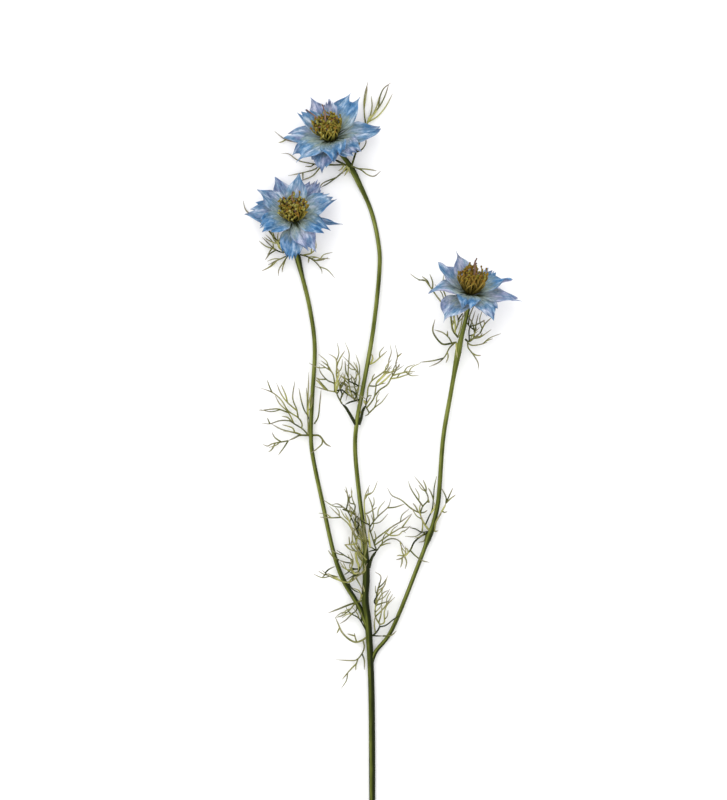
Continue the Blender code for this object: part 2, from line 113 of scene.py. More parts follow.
# Each flower: centre, heading of its lean, lean from upright, its petals as (azimuth, lift, length, width,
# ring, tip, curl of the tip, twist, hue from -1 for bright blue to 1 for lilac), then the tips of its styles
# as (azimuth, distance, height).
FLOWERS = {
    "flower_1": (
        (-26.3, 490.6, 12.5), 111.0, 40.0,
        (
            (174, 16, 30, 16, "lower", "forked_left", -8, 0, 0.4),
            (148, 42, 26, 15, "upper", "toothed_left", 10, 0, 0.1),
            (114, 35, 29, 15, "lower", "pointed", 12, 0, 0.9),
            (84, 47, 24, 11, "upper", "ragged", 15, 0, 1.0),
            (50, 26, 30, 23, "upper", "forked", 4, 0, -0.2),
            (3, -4, 32, 18, "lower", "forked_right", 26, -12, 0.3),
            (-45, 8, 24, 18, "lower", "toothed_left", -10, 15, 0.3),
            (-77, 23, 26, 18, "upper", "toothed_right", -20, 0, -0.8),
            (-103, 9, 29, 19, "lower", "nicked", -12, 0, 0.3),
            (-138, 20, 31, 21, "upper", "forked_left", -20, 0, -0.2),
        ),
        ((98, 13, 18), (136, 18, 16), (200, 8, 14), (275, 7, 15), (20, 7, 15)),
    ),
    "flower_2": (
        (-50.6, 439.0, 12.5), 95.0, 30.0,
        (
            (172, 8, 30, 18, "lower", "toothed_left", 0, 0, 0.2),
            (149, 28, 28, 15, "upper", "pointed", 10, 0, 0.3),
            (113, 16, 29, 14, "lower", "pointed", 6, 0, 0.7),
            (82, 32, 27, 14, "upper", "pointed", 10, 0, 0.3),
            (22, 16, 28, 17, "upper", "toothed_right", 6, 0, -0.1),
            (-10, 1, 30, 5, "lower", "pointed", 10, 40, 0.0),
            (-36, 18, 27, 14, "upper", "forked_left", -20, 35, -0.6),
            (54, 12, 28, 15, "lower", "ragged", 5, 0, 0.8),
            (-69, 4, 29, 16, "upper", "forked_left", -12, -15, 0.9),
            (-94, -7, 28, 15.5, "lower", "ragged", -8, 0, -0.5),
            (-140, 30, 28, 18, "upper", "ragged", -16, 0, -0.3),
        ),
        ((88, 7, 19), (140, 9, 13), (215, 7, 12), (290, 7, 13), (10, 8, 14)),
    ),
    "flower_3": (
        (63.9, 390.0, 21.8), 83.0, 56.0,
        (
            (-163, 12, 29, 19, "upper", "forked_left", -14, 34, 0.3),
            (-126, -9, 29, 20, "lower", "pointed", -35, 20, 0.7),
            (-100, 12, 22, 16, "upper", "forked", -24, 0, -0.9),
            (-61, 3, 28, 18, "lower", "nicked", -26, -10, 0.1),
            (-6, 2, 31, 19, "lower", "forked_right", -6, -20, 0.9),
            (10, 23, 28, 19, "upper", "toothed_left", -10, -34, -0.6),
            (58, 10, 26, 17, "lower", "ragged", 10, 0, 0.2),
            (98, 30, 20, 12, "upper", "pointed", 10, 0, 0.3),
            (127, 49, 27, 14, "upper", "pointed", 12, 0, 0.8),
            (152, 32, 28, 18, "lower", "pointed", 6, 0, 0.6),
        ),
        ((74, 5, 23), (80, 4, 22), (66, 4, 20), (220, 6, 15), (10, 6, 15)),
    ),
}

# Stem routes: first the part hidden inside the stem they grow from, then as far as the flower's neck.
MAIN_ROUTE = (
    (0, 0, 1.9), (0.2, 60, 2.0), (-0.3, 130, 2.6), (-2.2, 171, 3.5), (-4.4, 190, 3.8), (-3.7, 205, 4.0),
    (-4.6, 229, 4.4), (-8.2, 258, 4.6), (-10.9, 287, 4.6), (-9.8, 306, 4.6), (-6.0, 327, 4.4),
    (0.7, 365, 3.8), (4.9, 405, 3.0), (3.9, 424, 2.6), (-0.7, 443.5, 2.3), (-8.4, 461, 2.4),
    (-15.0, 473.5, 3.6),
)
LEFT_ROUTE = (
    (-3.2, 173, 3.6), (-7.3, 183.5, 3.8), (-11.2, 190.5, 3.6), (-18.6, 203, 3.4), (-25.0, 221, 3.6),
    (-31.9, 252, 4.0), (-38.4, 283, 4.2), (-39.7, 299, 4.2), (-38.8, 322, 4.0), (-37.2, 354, 3.4),
    (-40.5, 380, 2.6), (-47.0, 407, 2.0), (-50.3, 422, 3.2),
)
RIGHT_ROUTE = (
    (-0.6, 148, 2.9), (2.6, 156.5, 3.0), (11.0, 167, 3.2), (18.9, 184, 3.4), (31.2, 215.5, 3.8),
    (37.0, 231, 4.1), (39.8, 239, 4.2), (43.3, 256, 4.4), (46.2, 294, 4.6), (51.0, 323, 5.2),
    (56.4, 353, 7.6), (60.8, 372, 12.0),
)
# Each stem: its route, its flower, then its radius and its darkness as (height above the cut end, value).
STEMS = {
    "main_stem": (
        MAIN_ROUTE, "flower_1",
        ((0, 1.84), (55, 1.87), (75, 1.98), (150, 2.0), (175, 2.2), (195, 2.3), (214, 2.25), (225, 1.5),
         (240, 1.36), (450, 1.32), (468, 1.9), (475, 1.5), (483, 1.3)),
        ((0, 1.12), (170, 1.12), (214, 1.1), (226, 0.62), (300, 0.46), (450, 0.46),
         (470, 0.9), (480, 1)),
    ),
    "left_stem": (
        LEFT_ROUTE, "flower_2",
        ((173, 1.6), (203, 1.55), (220, 1.32), (400, 1.32), (413, 2.1), (425, 1.6)),
        ((173, 0.95), (205, 0.8), (230, 0.55), (395, 0.45), (415, 0.85), (425, 1)),
    ),
    "right_stem": (
        RIGHT_ROUTE, "flower_3",
        ((148, 1.3), (170, 1.3), (225, 1.3), (230, 1.95), (234, 1.95), (239, 1.5), (260, 1.42), (335, 1.38),
         (352, 2.1), (362, 1.4), (375, 1.3)),
        ((148, 0.85), (180, 0.6), (224, 0.6), (232, 0.9), (250, 0.6), (270, 0.5), (340, 0.35), (375, 0.6)),
    ),
}

# Fronds, mm
STALK_RADII = (0.7, 0.5)  # each pair of radii is at the root and at the tip
PETIOLE_RADII = (1.15, 0.85)
BLACK_PETIOLES = ("centre_leaf_left", "centre_leaf_right", "lower_leaf_right")
THREAD_RADII = (0.52, 0.36)
FINE_RADII = (0.4, 0.26)  # of the threads that fork off at random
BLADE_TONE = 1  # threads of this tone or more are flat
BLADE_SWELL = 0.3  # how much wider the flat threads are at their middle, as a share
TIP_RADIUS = 0.12
TIP_SHARE = 0.3  # share of its radius that a thread keeps at its tip
TIP_TAPER = 4  # how quickly a thread narrows just before its tip
THREAD_SIDES = 7
THREAD_STEP = 1.1
LOWEST_THREAD = 0.5
PETIOLE_TONE = -1.5
DARK_TONE = -0.8  # threads of this tone or less don't turn to the tip colour
TONE_CHANCE = (-0.1, 0.3)  # what chance adds to a thread's tone
ROOT_DARKENING = 0.55  # how much lower the tone is at a thread's root than at its tip
FIRST_FROND_SEED = 11
SHORTEST_PARENT = 12  # points that a thread needs for a fine thread to fork from it
SIDE_TURN = (18, 48)  # degrees between a fine thread and its parent
SIDE_LENGTH = (6, 14)
SIDE_RISE = (0.5, 5.5)
SIDE_BEND = ((0.45, 1.0), (1.0, 0.55))  # shares of its length, each with the share of the turn there
SIDE_TONES = ((-0.8, 0.2), (-0.2, 0.7))  # darkest and palest at the root, then at the tip

# Each leaf or bract: height of its root, then its threads as (rise, tone, points), where the tone goes from
# -1 for dark stalks to 1 for flat yellow-green ones. A thread whose first point has a height of its own
# starts there, and the others grow from the nearest thread before them. The first thread is the stalk.
FRONDS = {
    "left_leaf": (4.2, (
        (1, -0.4, (-39, 297.5), (-41.5, 297), (-47, 297), (-50, 295.5), (-54.5, 293.5)),
        (2, -0.7, (-41.5, 298), (-45, 301), (-50.5, 304.5), (-54, 306.5), (-60, 306.5), (-66.5, 304.5),
         (-72, 305)),
        (2, -0.3, (-66.5, 305), (-68, 308.5)),
        (4, 0.2, (-45.5, 302), (-45.5, 304.5), (-48, 308.5), (-54.5, 313), (-59, 320), (-65, 325),
         (-73, 328)),
        (3, 0, (-65, 325), (-66.5, 328.5), (-68, 333)),
        (5, -0.3, (-48, 308.5), (-49, 314), (-51.5, 321.5), (-50, 332.5)),
        (4, 0.4, (-49, 313), (-55, 318.5), (-59, 324), (-62, 331)),
        (3, 0.4, (-55, 318.5), (-56, 323), (-59, 330)),
        (1, 0.2, (-50.5, 305), (-54.5, 312), (-60, 317.5), (-63, 323)),
        (-2, -0.3, (-54.5, 311.5), (-60.5, 314), (-65.5, 314), (-73.5, 313)),
        (2, 0, (-52.5, 305.5), (-54.5, 308.5), (-58.5, 309.5)),
        (-1, -0.3, (-45, 297), (-51.5, 299), (-59, 301), (-65.5, 304.5)),
        (2, 0.5, (-50, 298.5), (-52, 302), (-58.5, 304)),
        (-1, -0.3, (-54.5, 293.5), (-60, 292.5), (-65, 291.5), (-68, 290), (-71.5, 291.5)),
        (2, -0.3, (-59, 292.5), (-63, 295.5), (-65, 299)),
        (-1, -0.2, (-54.5, 293.5), (-57, 289.5), (-61, 284)),
        (-2, -0.2, (-63, 292), (-65, 288), (-67.5, 286)),
        (7, 0.2, (-41, 298), (-41.5, 304.5), (-42, 313.5), (-41.5, 323), (-41, 338)),
        (5, -0.5, (-39, 307.5), (-41.5, 309.5), (-44, 313.5), (-46, 320), (-47.5, 328)),
        (5, 0, (-41.5, 313.5), (-42, 320), (-42.5, 328)),
        (3, 1, (-39.5, 309.5), (-41.5, 315.5), (-40.5, 320.5), (-39.5, 325)),
    )),
    "left_leaf_curl": (4.2, (
        (1, -0.4, (-38.5, 297), (-35, 297), (-33, 295.5), (-30, 291.5), (-26.5, 289.5)),
        (5, -0.3, (-32.5, 294.5), (-32.5, 291.5), (-35.5, 288.5), (-39.5, 285.5)),
        (5, -0.3, (-37.5, 304.5, 4.2), (-35, 309), (-34, 317), (-33, 327)),
    )),
    "centre_leaf_left": (4.8, (
        (2, -1, (-10.5, 304), (-14.5, 311), (-17, 315), (-19.5, 317.5)),
        (2, 0, (-19.5, 317.5), (-22, 322), (-23.5, 325), (-28, 326), (-33, 327.5), (-37.5, 329)),
        (3, 0, (-28.5, 326.5), (-32.5, 330.5), (-35, 333.5), (-37, 335)),
        (4, -0.5, (-24, 326), (-24.5, 330.5), (-28.5, 332.5), (-32, 336), (-34, 339.5), (-34, 342)),
        (2, 0, (-30, 333), (-34, 333.5), (-36, 334.5)),
        (5, 0, (-23.5, 326.5), (-24.5, 333), (-26, 338), (-30, 341), (-34.5, 344)),
        (4, 0, (-26.5, 339), (-28.5, 342), (-33, 345.5)),
        (6, 1, (-23, 326), (-22, 331), (-23, 336), (-23, 345.5), (-25.5, 348.5), (-28.5, 350)),
        (5, 1, (-23, 325), (-23.5, 330.5), (-21.5, 337), (-23, 342)),
        (6, 0, (-23, 341), (-22, 344.5), (-19.5, 349), (-17.5, 352)),
        (1, 1, (-30, 327), (-34, 331), (-37, 333.5)),
        (-3, -0.5, (-20, 320), (-19.5, 324), (-21, 328), (-19.5, 331), (-17, 329), (-16, 324), (-17, 319.5)),
        (-2, -1, (-23, 326), (-19.5, 326.5), (-17, 324.5), (-13.5, 322), (-11.5, 320)),
        (-3, 0, (-21.5, 324.5), (-19.5, 329), (-17.5, 333), (-21, 336)),
        (-1, 0, (-17, 324.5), (-16, 329), (-19, 331.5), (-21.5, 331)),
        (-2, 0, (-19.5, 321.5), (-17.5, 326), (-14.5, 324.5)),
    )),
    "centre_leaf_middle": (4.8, (
        (3, -1, (-7, 320.5), (-11, 319.5), (-14.5, 318.5), (-17.5, 317)),
        (5, 0, (-11, 320), (-13.5, 324.5), (-15, 330.5), (-15.5, 337), (-15, 345.5), (-15, 351),
         (-17.5, 357.5)),
        (3, 0, (-15.5, 333), (-19, 335), (-21, 336)),
        (4, -0.5, (-10, 321.5), (-10.5, 326), (-11.5, 329), (-11.5, 333), (-14.5, 337)),
        (6, 0, (-11.5, 320), (-9, 326), (-8.5, 330.5), (-8, 335), (-10.5, 339.5), (-15, 344.5), (-19, 348.5)),
        (3, -1, (-8.5, 329), (-11, 330.5), (-15, 332.5), (-12.5, 335)),
        (5, -0.5, (-15, 335), (-17, 339), (-17.5, 345.5)),
        (2, 0, (-12.5, 321.5), (-14.5, 323), (-17, 326.5), (-16, 330.5)),
        (2, -1, (-13, 322), (-13.5, 326), (-10.5, 324), (-10, 321.5)),
    )),
    "centre_leaf_right": (4.8, (
        (3, -1, (-8.5, 304), (-7, 308.5), (-6, 313), (-4, 316.5)),
        (2, -1, (-4, 316), (-2, 311.5), (-4.5, 309.5)),
        (3, 0, (-2, 311.5), (1.5, 315), (3, 318.5), (5, 320.5)),
        (4, 0, (-2.5, 315.5), (-0.5, 318.5), (1.5, 322), (2.5, 328), (3, 331.5), (6.5, 335), (10.5, 339.5),
         (13, 341)),
        (5, 0, (1.5, 322.5), (5, 326.5), (10, 330), (12.5, 334.5), (15.5, 339.5), (15.5, 344), (16.5, 348.5),
         (15, 356)),
        (2, 0, (16, 348), (19.5, 350.5)),
        (2, 0, (15.5, 340), (17, 341.5), (18, 343.5)),
        (3, 0.5, (13, 336), (17.5, 337), (22, 338), (28, 338.5)),
        (1, 0.5, (12.5, 333.5), (17, 334.5), (21.5, 336), (26.5, 337.5)),
        (3, -1, (-6, 320.5), (-3, 322), (0, 323)),
        (5, 0, (-4, 317), (-2, 320), (-0.5, 322.5)),
        (6, 0, (-5, 324), (-2.5, 328), (0, 332.5), (6, 337), (10, 341), (11, 346), (12.5, 351),
         (11.5, 356.5)),
        (2, -0.5, (-1.5, 329), (2, 329), (6, 330.5), (9, 331)),
        (5, 1, (3, 330.5), (5, 333), (9, 337), (11.5, 339.5)),
        (4, 1, (4.5, 330.5), (8.5, 333), (11, 335.5), (13.5, 338)),
        (3, 1, (4, 332.5), (7, 335.5), (9, 339.5)),
        (2, 0, (0, 332.5), (0.5, 335), (2, 337)),
        (3, 1, (-7, 318.5), (-5, 319.5), (-4.5, 317)),
        (3, 0.5, (-2, 343, 4), (1.5, 344.5), (5, 347.5), (10, 352)),
        (2, 1, (-1.5, 344), (0.5, 347), (-0.5, 350.5)),
    )),
    "lower_leaf_right": (4.4, (
        (3, -1, (-2, 211), (-0.5, 216.5), (1.5, 220), (3, 222)),
        (5, -0.5, (3, 222), (1.5, 226.5), (-0.5, 233), (-1.5, 237), (3, 243.5), (10, 250), (11.5, 253),
         (12.5, 257)),
        (2, 0, (10, 250), (15, 250.5), (21, 252.5)),
        (3, -1, (-0.5, 235), (-2, 239), (-5, 240.5), (-8, 242.5)),
        (5, 0, (-1.5, 238), (-2, 242.5), (-4, 247)),
        (5, 0, (1.5, 241.5), (0.5, 248), (-0.5, 253), (-2.5, 257.5)),
        (5, 0.5, (-4, 239.5), (-5, 250), (-4.5, 257.5), (-1.5, 265)),
        (0, 0.5, (-4.5, 258), (-0.5, 260)),
        (2, 0, (-6, 246), (-2, 247), (3, 250.5)),
        (1, 0, (2.5, 229), (8, 234), (13.5, 238), (19.5, 241.5), (25.5, 246)),
        (-2, 0, (3, 226), (10, 231.5), (15.5, 235), (19.5, 237), (26, 237.5)),
        (1, 0.5, (8, 234), (12.5, 232), (17.5, 232.5), (20, 235), (22, 233.5)),
        (0, 0.5, (19.5, 237), (22, 240.5), (26, 246)),
        (-4, -0.5, (3, 222), (6.5, 226.5), (11, 229.5), (15.5, 229.5), (19, 227), (21.5, 223)),
        (-3, 0, (6, 224.5), (9, 226.5), (12.5, 227)),
        (3, -0.5, (1.5, 226.5), (2.5, 230.5), (1.5, 235)),
        (1, -1, (3, 222), (0, 224), (-2.5, 225)),
        (0, -1, (2.5, 222.5), (-0.5, 222), (-2.5, 221)),
        (4, 1, (-0.5, 226), (-2, 231.5), (-2, 237)),
        (1, -0.2, (-1, 224, 6.4), (-3.5, 230), (-8, 235), (-9.5, 241), (-8.5, 247)),
    )),
    "lower_leaf_left": (4.4, (
        (2, -1, (-4.5, 215.5), (-7, 221), (-10, 226)),
        (4, 0, (-10, 226), (-11, 230.5), (-15, 239), (-22, 245.5), (-27.5, 251)),
        (1, -0.5, (-20, 244), (-25.5, 243.5), (-34, 244)),
        (4, -1, (-5, 231), (-8.5, 233.5), (-10.5, 237), (-13, 242.5), (-16, 248), (-19, 250.5)),
        (3, -0.5, (-6, 241.5), (-11, 246), (-16, 248.5), (-22, 252.5), (-26, 252)),
        (4, -0.5, (-16, 250), (-15.5, 255.5), (-17, 264)),
        (3, -0.5, (-10, 248.5), (-11, 252), (-14.5, 253.5), (-14.5, 259)),
        (5, 0, (-11, 237), (-10.5, 242), (-10.5, 248)),
        (-2, 1, (-6, 228.5), (-11, 226.5), (-18, 226)),
        (-1, 0.5, (-17.5, 226), (-14.5, 223), (-9, 221)),
        (2, 0, (-14.5, 228.5), (-15, 231.5)),
        (4, -1, (-10.5, 235.5), (-8.5, 239.5), (-11, 242), (-9, 245)),
        (3, 1, (-11.5, 235), (-14.5, 240.5), (-17.5, 246.5)),
        (1, 1, (-6.5, 220.5), (-6.5, 226), (-7, 230.5), (-5, 235.5)),
        (0, -1, (-10.5, 236, 6), (-9, 233.5), (-6.5, 231.5), (-2.5, 230.5)),
        (0, -0.4, (-19, 249, 5), (-14, 247), (-9.5, 244), (-7, 241.5), (-2.5, 238.5)),
        (1, 0.2, (-4, 222, 6.4), (-4.5, 226), (-6, 230.5), (-7, 237.5)),
        (0, 0.2, (-3.5, 216, 6.8), (-9, 222), (-12.5, 228), (-13, 236), (-15.5, 243)),
        (1, 0.3, (-5, 218, 6.9), (-3.5, 226), (-5.5, 234), (-4.5, 243)),
        (1, 0.3, (-4.5, 229, 6.7), (-8.5, 237), (-7.5, 246)),
    )),
    "lower_leaf_outer": (4.4, (
        (1, 1, (-5, 218), (-10, 221), (-10, 216), (-8.5, 211.5), (-10, 205), (-15.5, 200.5)),
        (0, 0, (-10.5, 204.5), (-8, 200), (-6, 196)),
        (1, -1, (-15, 200.5), (-12.5, 197), (-8, 194.5)),
        (2, -1, (-5, 213), (-8, 210), (-10, 206)),
        (3, -1, (-10, 210), (-13, 211), (-12.5, 215.5), (-17, 218.5), (-23, 222.5)),
        (2, -0.5, (-10, 210), (-15.5, 209.5), (-20, 212)),
        (2, -0.7, (-13, 214), (-17, 214.5), (-21.5, 216)),
        (2, -1, (-13.5, 211), (-15.5, 208), (-18, 206.5)),
        (1, -0.5, (-10.5, 207.5), (-13.5, 205), (-17, 203)),
        (3, 0.5, (-12.5, 201), (-17, 201.5), (-22, 203), (-27.5, 205.5), (-32.5, 209.5)),
        (2, 1, (-20, 202.5), (-24.5, 205), (-29, 207.5)),
        (2, -0.5, (-30.5, 207.5), (-28, 210), (-24, 212)),
        (-1, -0.5, (-30, 207), (-32.5, 204.5)),
        (2, -0.5, (-25.5, 207.5), (-21.5, 205)),
        (3, -0.5, (-22, 215.5), (-25.5, 218.5), (-28.5, 222.5)),
        (2, 1, (-13, 210), (-11, 207), (-8, 208)),
        (2, 0.2, (-9, 209), (-6.5, 213), (-7, 218.5), (-11, 224)),
        (2, 0.5, (-9, 205), (-4.5, 209), (-5, 214)),
        (2, 0, (-13, 203), (-10.5, 208), (-5.5, 206.5)),
        (2, 0.4, (-15, 201.5), (-12, 206), (-14.5, 212), (-12, 217)),
        (2, 0.2, (-10, 221), (-13.5, 225), (-12.5, 230.5)),
    )),
    "joint_leaf_left": (4.4, (
        (1, -0.5, (-6, 189.5), (-11.5, 188), (-17, 186), (-22, 184), (-28.5, 181.5)),
        (1, 0, (-10.5, 187.5), (-14.5, 183.5), (-19, 180), (-24, 178.5)),
        (2, -0.7, (-10, 187.5), (-10, 183.5), (-13, 181), (-17, 177), (-21, 174.5)),
        (1, 0.7, (-8, 188.5), (-7, 192.5), (-8.5, 196), (-13, 198)),
        (2, 0.7, (-7, 191.5), (-5, 195), (-6, 200)),
    )),
    "base_leaf_left": (3.4, (
        (1, 0, (-2, 167), (-6, 164), (-10.5, 162.5), (-15, 164.5), (-19.5, 169), (-22, 174.5), (-24, 179)),
        (2, 0, (-10, 162.5), (-11, 166), (-11.5, 168.5)),
        (1, 0, (-11.5, 166.5), (-16, 168)),
        (-1, 0, (-21, 172), (-22, 170), (-23, 168)),
        (-1, 0, (-6, 164), (-5, 159.5), (-6.5, 155), (-10, 151), (-14.5, 150.5), (-23.5, 151)),
        (1, -0.5, (-6.5, 155), (-5, 150.5), (-5, 144.5)),
        (0, 0, (-9, 151.5), (-10.5, 147), (-10.5, 144)),
        (-1, 0, (-10, 148.5), (-14.5, 144), (-19.5, 138)),
        (3, -1, (-3, 170), (-6.5, 175), (-9, 178.5), (-13.5, 181), (-16, 183.5), (-17, 186)),
        (2, -0.5, (-6.5, 175.5), (-7, 179), (-7, 182)),
    )),
    "joint_leaf_right": (3.6, (
        (2, -1, (-1.5, 165.5), (2.5, 168.5), (5, 172.5), (5, 174.5)),
        (5, 0.5, (5, 174), (2.5, 178.5), (2, 183), (3, 190), (4, 196.5), (4.5, 201.5)),
        (4, 0.5, (2.5, 185.5), (3, 191.5), (6, 196.5), (9, 201.5)),
        (3, 0.5, (5, 174), (8, 175.5), (8, 182), (10, 187), (15, 192)),
        (3, -1, (5, 172.5), (9, 173.5), (13.5, 177), (19, 181)),
        (3, 0, (3, 179.5), (7, 184), (10, 188), (13.5, 194)),
        (4, 0, (1.5, 185.5), (4, 190), (7, 194.5), (10.5, 196.5)),
        (2, -0.5, (5, 186), (8, 188.5), (10.5, 189.5)),
        (3, 0, (5, 175.5), (6, 181.5), (6.5, 187)),
        (4, -1, (-2, 187.5), (1.5, 189.5), (4, 194)),
        (2, -1, (-1.5, 183), (2, 182.5)),
        (1, -1, (-1.5, 178.5), (2, 179)),
        (0, -0.7, (0.5, 166.5), (4, 166.5), (7, 166.5)),
        (4, 0.5, (1.5, 169), (1.5, 174.5), (2, 179.5)),
        (3, -0.3, (9, 164.5), (12.5, 167), (16, 170)),
        (2, -0.2, (1.5, 187), (3.4, 195.8), (5.8, 205), (1.9, 208.5)),
        (1, 0, (4.2, 198), (7.4, 201), (10, 205)),
    )),
    "right_leaf_upper": (4.4, (
        (3, 0.3, (38.5, 234), (35, 238), (32.5, 242.5), (31, 247)),
        (2, 0, (31, 246.5), (25.5, 249.5), (19, 255), (13, 258), (10, 263)),
        (1, 0, (30, 247), (28.5, 250.5), (26.5, 253)),
        (2, 0.6, (31, 247), (31, 250), (31.5, 252.5)),
        (4, -0.2, (32, 246.5), (33, 251), (36.5, 255.5), (34, 262), (27.5, 270.5)),
        (4, 0, (33, 251), (28, 258), (25, 263), (23.5, 267.5)),
        (3, 0, (34.5, 260), (35, 263.5), (33, 268.5)),
        (3, -0.2, (39.5, 251), (37, 253.5), (36, 257.5)),
        (4, -1, (36, 239.5), (37, 244), (39, 248.5), (40, 256.5), (40.5, 263.5), (42, 270.5)),
        (3, 0, (39.5, 255.5), (38.5, 259.5), (36.5, 263)),
        (2, 1, (39, 246), (40.5, 250), (40.5, 253.5)),
        (1, -0.2, (31, 246.5), (34, 247), (36, 248.5)),
        (-2, -1, (36.5, 233.5), (32.5, 234), (28.5, 236), (24.5, 237)),
        (-1, 0.2, (32.5, 234), (33, 239), (32.5, 243.5)),
        (1, 1, (30.5, 244.5), (31, 247), (29, 248.5)),
    )),
    "right_leaf_side": (4.4, (
        (3, 0, (40.5, 235), (41.5, 240.5), (44, 245), (46, 249)),
        (3, 1, (45.5, 247), (47, 250.5), (48, 253)),
        (5, -0.5, (48, 253), (48, 257), (45, 263)),
        (1, 0, (48, 253), (50, 257.5), (52.5, 263)),
        (-2, 0.3, (48, 253), (50.5, 255.5), (54.5, 258.5)),
        (1, 0, (45.5, 248), (47, 247), (49, 247.5)),
        (1, 0, (39.5, 233.5), (41, 234.5), (43, 235)),
    )),
    "right_leaf_lower": (4.2, (
        (1, -1, (36.5, 233.5), (32, 231.5), (27.5, 227.5), (25, 222.5), (21, 218)),
        (0, -0.5, (21.5, 218.5), (19, 217), (15.5, 216)),
        (3, 0.2, (21, 218), (19.5, 222), (19, 226)),
        (3, 0.6, (21.5, 218), (22, 222), (21.5, 225)),
        (-2, 0.2, (19.5, 217.5), (19.5, 214), (18.5, 211)),
        (0, 0.2, (21.5, 218), (22.5, 214.5), (21.5, 210)),
        (2, -0.3, (24.5, 222.5), (28.5, 218.5), (33, 215.5), (37.5, 214.5)),
        (2, 1, (24, 221), (22, 219), (20, 217.5)),
        (3, 0.5, (23.5, 221), (23, 223), (21.5, 224)),
        (1, -0.3, (36.5, 229.5), (34, 228.5), (30.5, 227.5)),
        (0, 0, (21, 218.5), (18, 219), (16, 218.5)),
    )),
    "flower_3_bract_left": (8.4, (
        (-4, -0.3, (56, 360.5), (52.5, 365.5), (51.5, 372), (50.5, 378), (44, 385), (37.5, 394)),
        (1, 0.5, (52, 367.5), (53.5, 373.5), (52, 380), (49, 384.5)),
        (2, 1, (54.5, 363.5), (54, 369.5), (52.5, 376), (51.5, 381)),
        (3, 0, (55, 365), (56, 370.5), (55, 376.5), (54, 381)),
        (1, 0, (41.5, 389.5), (37.5, 394), (34, 398), (30, 397.5)),
        (1, -0.3, (39, 391.5), (39.5, 396.5), (37.5, 402)),
        (-1, 0, (37.5, 394), (36, 397.5), (32.5, 400.5)),
        (1, 0, (47, 385), (46, 393), (46.5, 401)),
        (2, -1, (56.5, 372), (57.5, 374.5), (59, 376.5)),
        (2, 0.5, (57, 361.5), (58, 369), (59, 376)),
    )),
    "flower_3_bract_low": (7.6, (
        (-3, -0.5, (55, 357.5), (50, 356.5), (45.5, 356.5), (41, 361.5), (39.5, 366), (41, 372.5)),
        (1, 0, (52, 357), (49.5, 361), (45.5, 364), (40.5, 365.5)),
        (1, 0, (49, 361.5), (49, 365)),
        (-5, -0.3, (54, 357), (50.5, 354), (47.5, 348.5), (43.5, 344.5), (37, 341.5)),
        (-1, -0.2, (46, 347.5), (39.5, 345.5), (31, 344.5)),
        (0, 0, (49, 351), (49.5, 348), (48, 344)),
        (2, 1, (55, 356), (55, 351), (55.5, 347.5)),
    )),
    "flower_3_bract_right": (8.2, (
        (3, -0.6, (60.5, 359.5), (63, 358), (66.5, 360.5), (71, 364)),
        (4, -0.7, (70, 363.5), (73, 369), (77.5, 373.5)),
        (1, 0, (68, 361.5), (70, 361), (71.5, 363.5)),
        (5, -0.7, (63, 358.5), (63, 365), (64.5, 370), (67, 378)),
        (5, -0.6, (65.5, 360.5), (67, 366), (68, 371.5), (69, 376)),
        (3, -0.7, (62.5, 361.5), (66.5, 363), (68, 367)),
        (2, -0.7, (62, 368), (64.5, 368), (68, 369), (73.5, 372)),
        (2, -0.6, (66.5, 363.5), (65.5, 369), (62.5, 374)),
        (2, -1, (65, 365.5), (63, 368), (61, 371.5)),
        (3, -0.5, (63, 369), (63.5, 375), (67, 383)),
        (3, 0, (71.5, 367), (73, 369.5), (72, 372)),
        (-4, -0.2, (61, 356.5), (62.5, 354), (65.5, 350), (69, 344), (69, 339.5)),
        (-3, 0.2, (61, 357), (65, 355.5), (70, 356), (75, 357.5)),
        (0, 0.3, (65.5, 350.5), (68, 349), (71, 349)),
    )),
    "flower_2_bracts": (3.6, (
        (-2, -0.3, (-48, 415), (-60, 422), (-69.5, 433), (-76.5, 439), (-82, 443.5), (-84, 450)),
        (-1, -0.7, (-52.5, 415), (-58, 416), (-63, 418), (-67.5, 422), (-71.5, 426)),
        (2, 0.6, (-57, 416), (-61, 420), (-60, 424.5), (-57, 428.5)),
        (1, 0.6, (-58, 424.5), (-62, 422), (-67.5, 424), (-70, 426)),
        (1, -0.2, (-62.5, 417.5), (-66.5, 415), (-69.5, 411)),
        (1, 0.3, (-63, 418), (-69, 420), (-73.5, 423.5)),
        (2, 1, (-60, 418), (-61, 422), (-63, 424)),
        (2, -0.7, (-60.5, 421.5), (-57, 424.5), (-54.5, 426.5)),
        (1, 0, (-65.5, 417.5), (-68, 414)),
        (-2, -0.4, (-51.5, 414), (-57, 413), (-62.5, 410.5), (-67.5, 408)),
        (0, -0.2, (-54, 413), (-58, 409), (-60.5, 405), (-61, 400.5)),
        (0, 0, (-56, 411.5), (-58, 406.5), (-58.5, 403)),
        (-1, -0.5, (-47, 415), (-41.5, 413), (-36.5, 409.5), (-33, 405), (-32.5, 402)),
        (2, -0.3, (-41.5, 413), (-37.5, 411), (-33, 411), (-28.5, 412.5)),
        (3, 0.6, (-45, 414), (-39.5, 415.5), (-36.5, 419), (-36.5, 423.5)),
        (1, 0.4, (-39.5, 415.5), (-39, 419.5), (-37, 422)),
        (1, 0, (-41, 412.5), (-41.5, 409)),
    )),
    "flower_1_bracts": (4.2, (
        (-3, -0.7, (-13.5, 471), (-27.5, 478), (-44, 486.5), (-56, 489.5), (-63.5, 495)),
        (1, 0, (-56, 489.5), (-58.5, 488), (-61, 487.5)),
        (-2, -0.6, (-17.5, 473), (-32.5, 473), (-47, 475.5), (-54, 480), (-59, 480.5)),
        (-2, -0.2, (-24, 473), (-32.5, 473.5), (-37.5, 470), (-47, 467.5), (-54.5, 466)),
        (-3, -0.2, (-28.5, 473.5), (-33, 472), (-38.5, 466), (-47, 462.5)),
        (0, 0, (-45, 468), (-45, 463)),
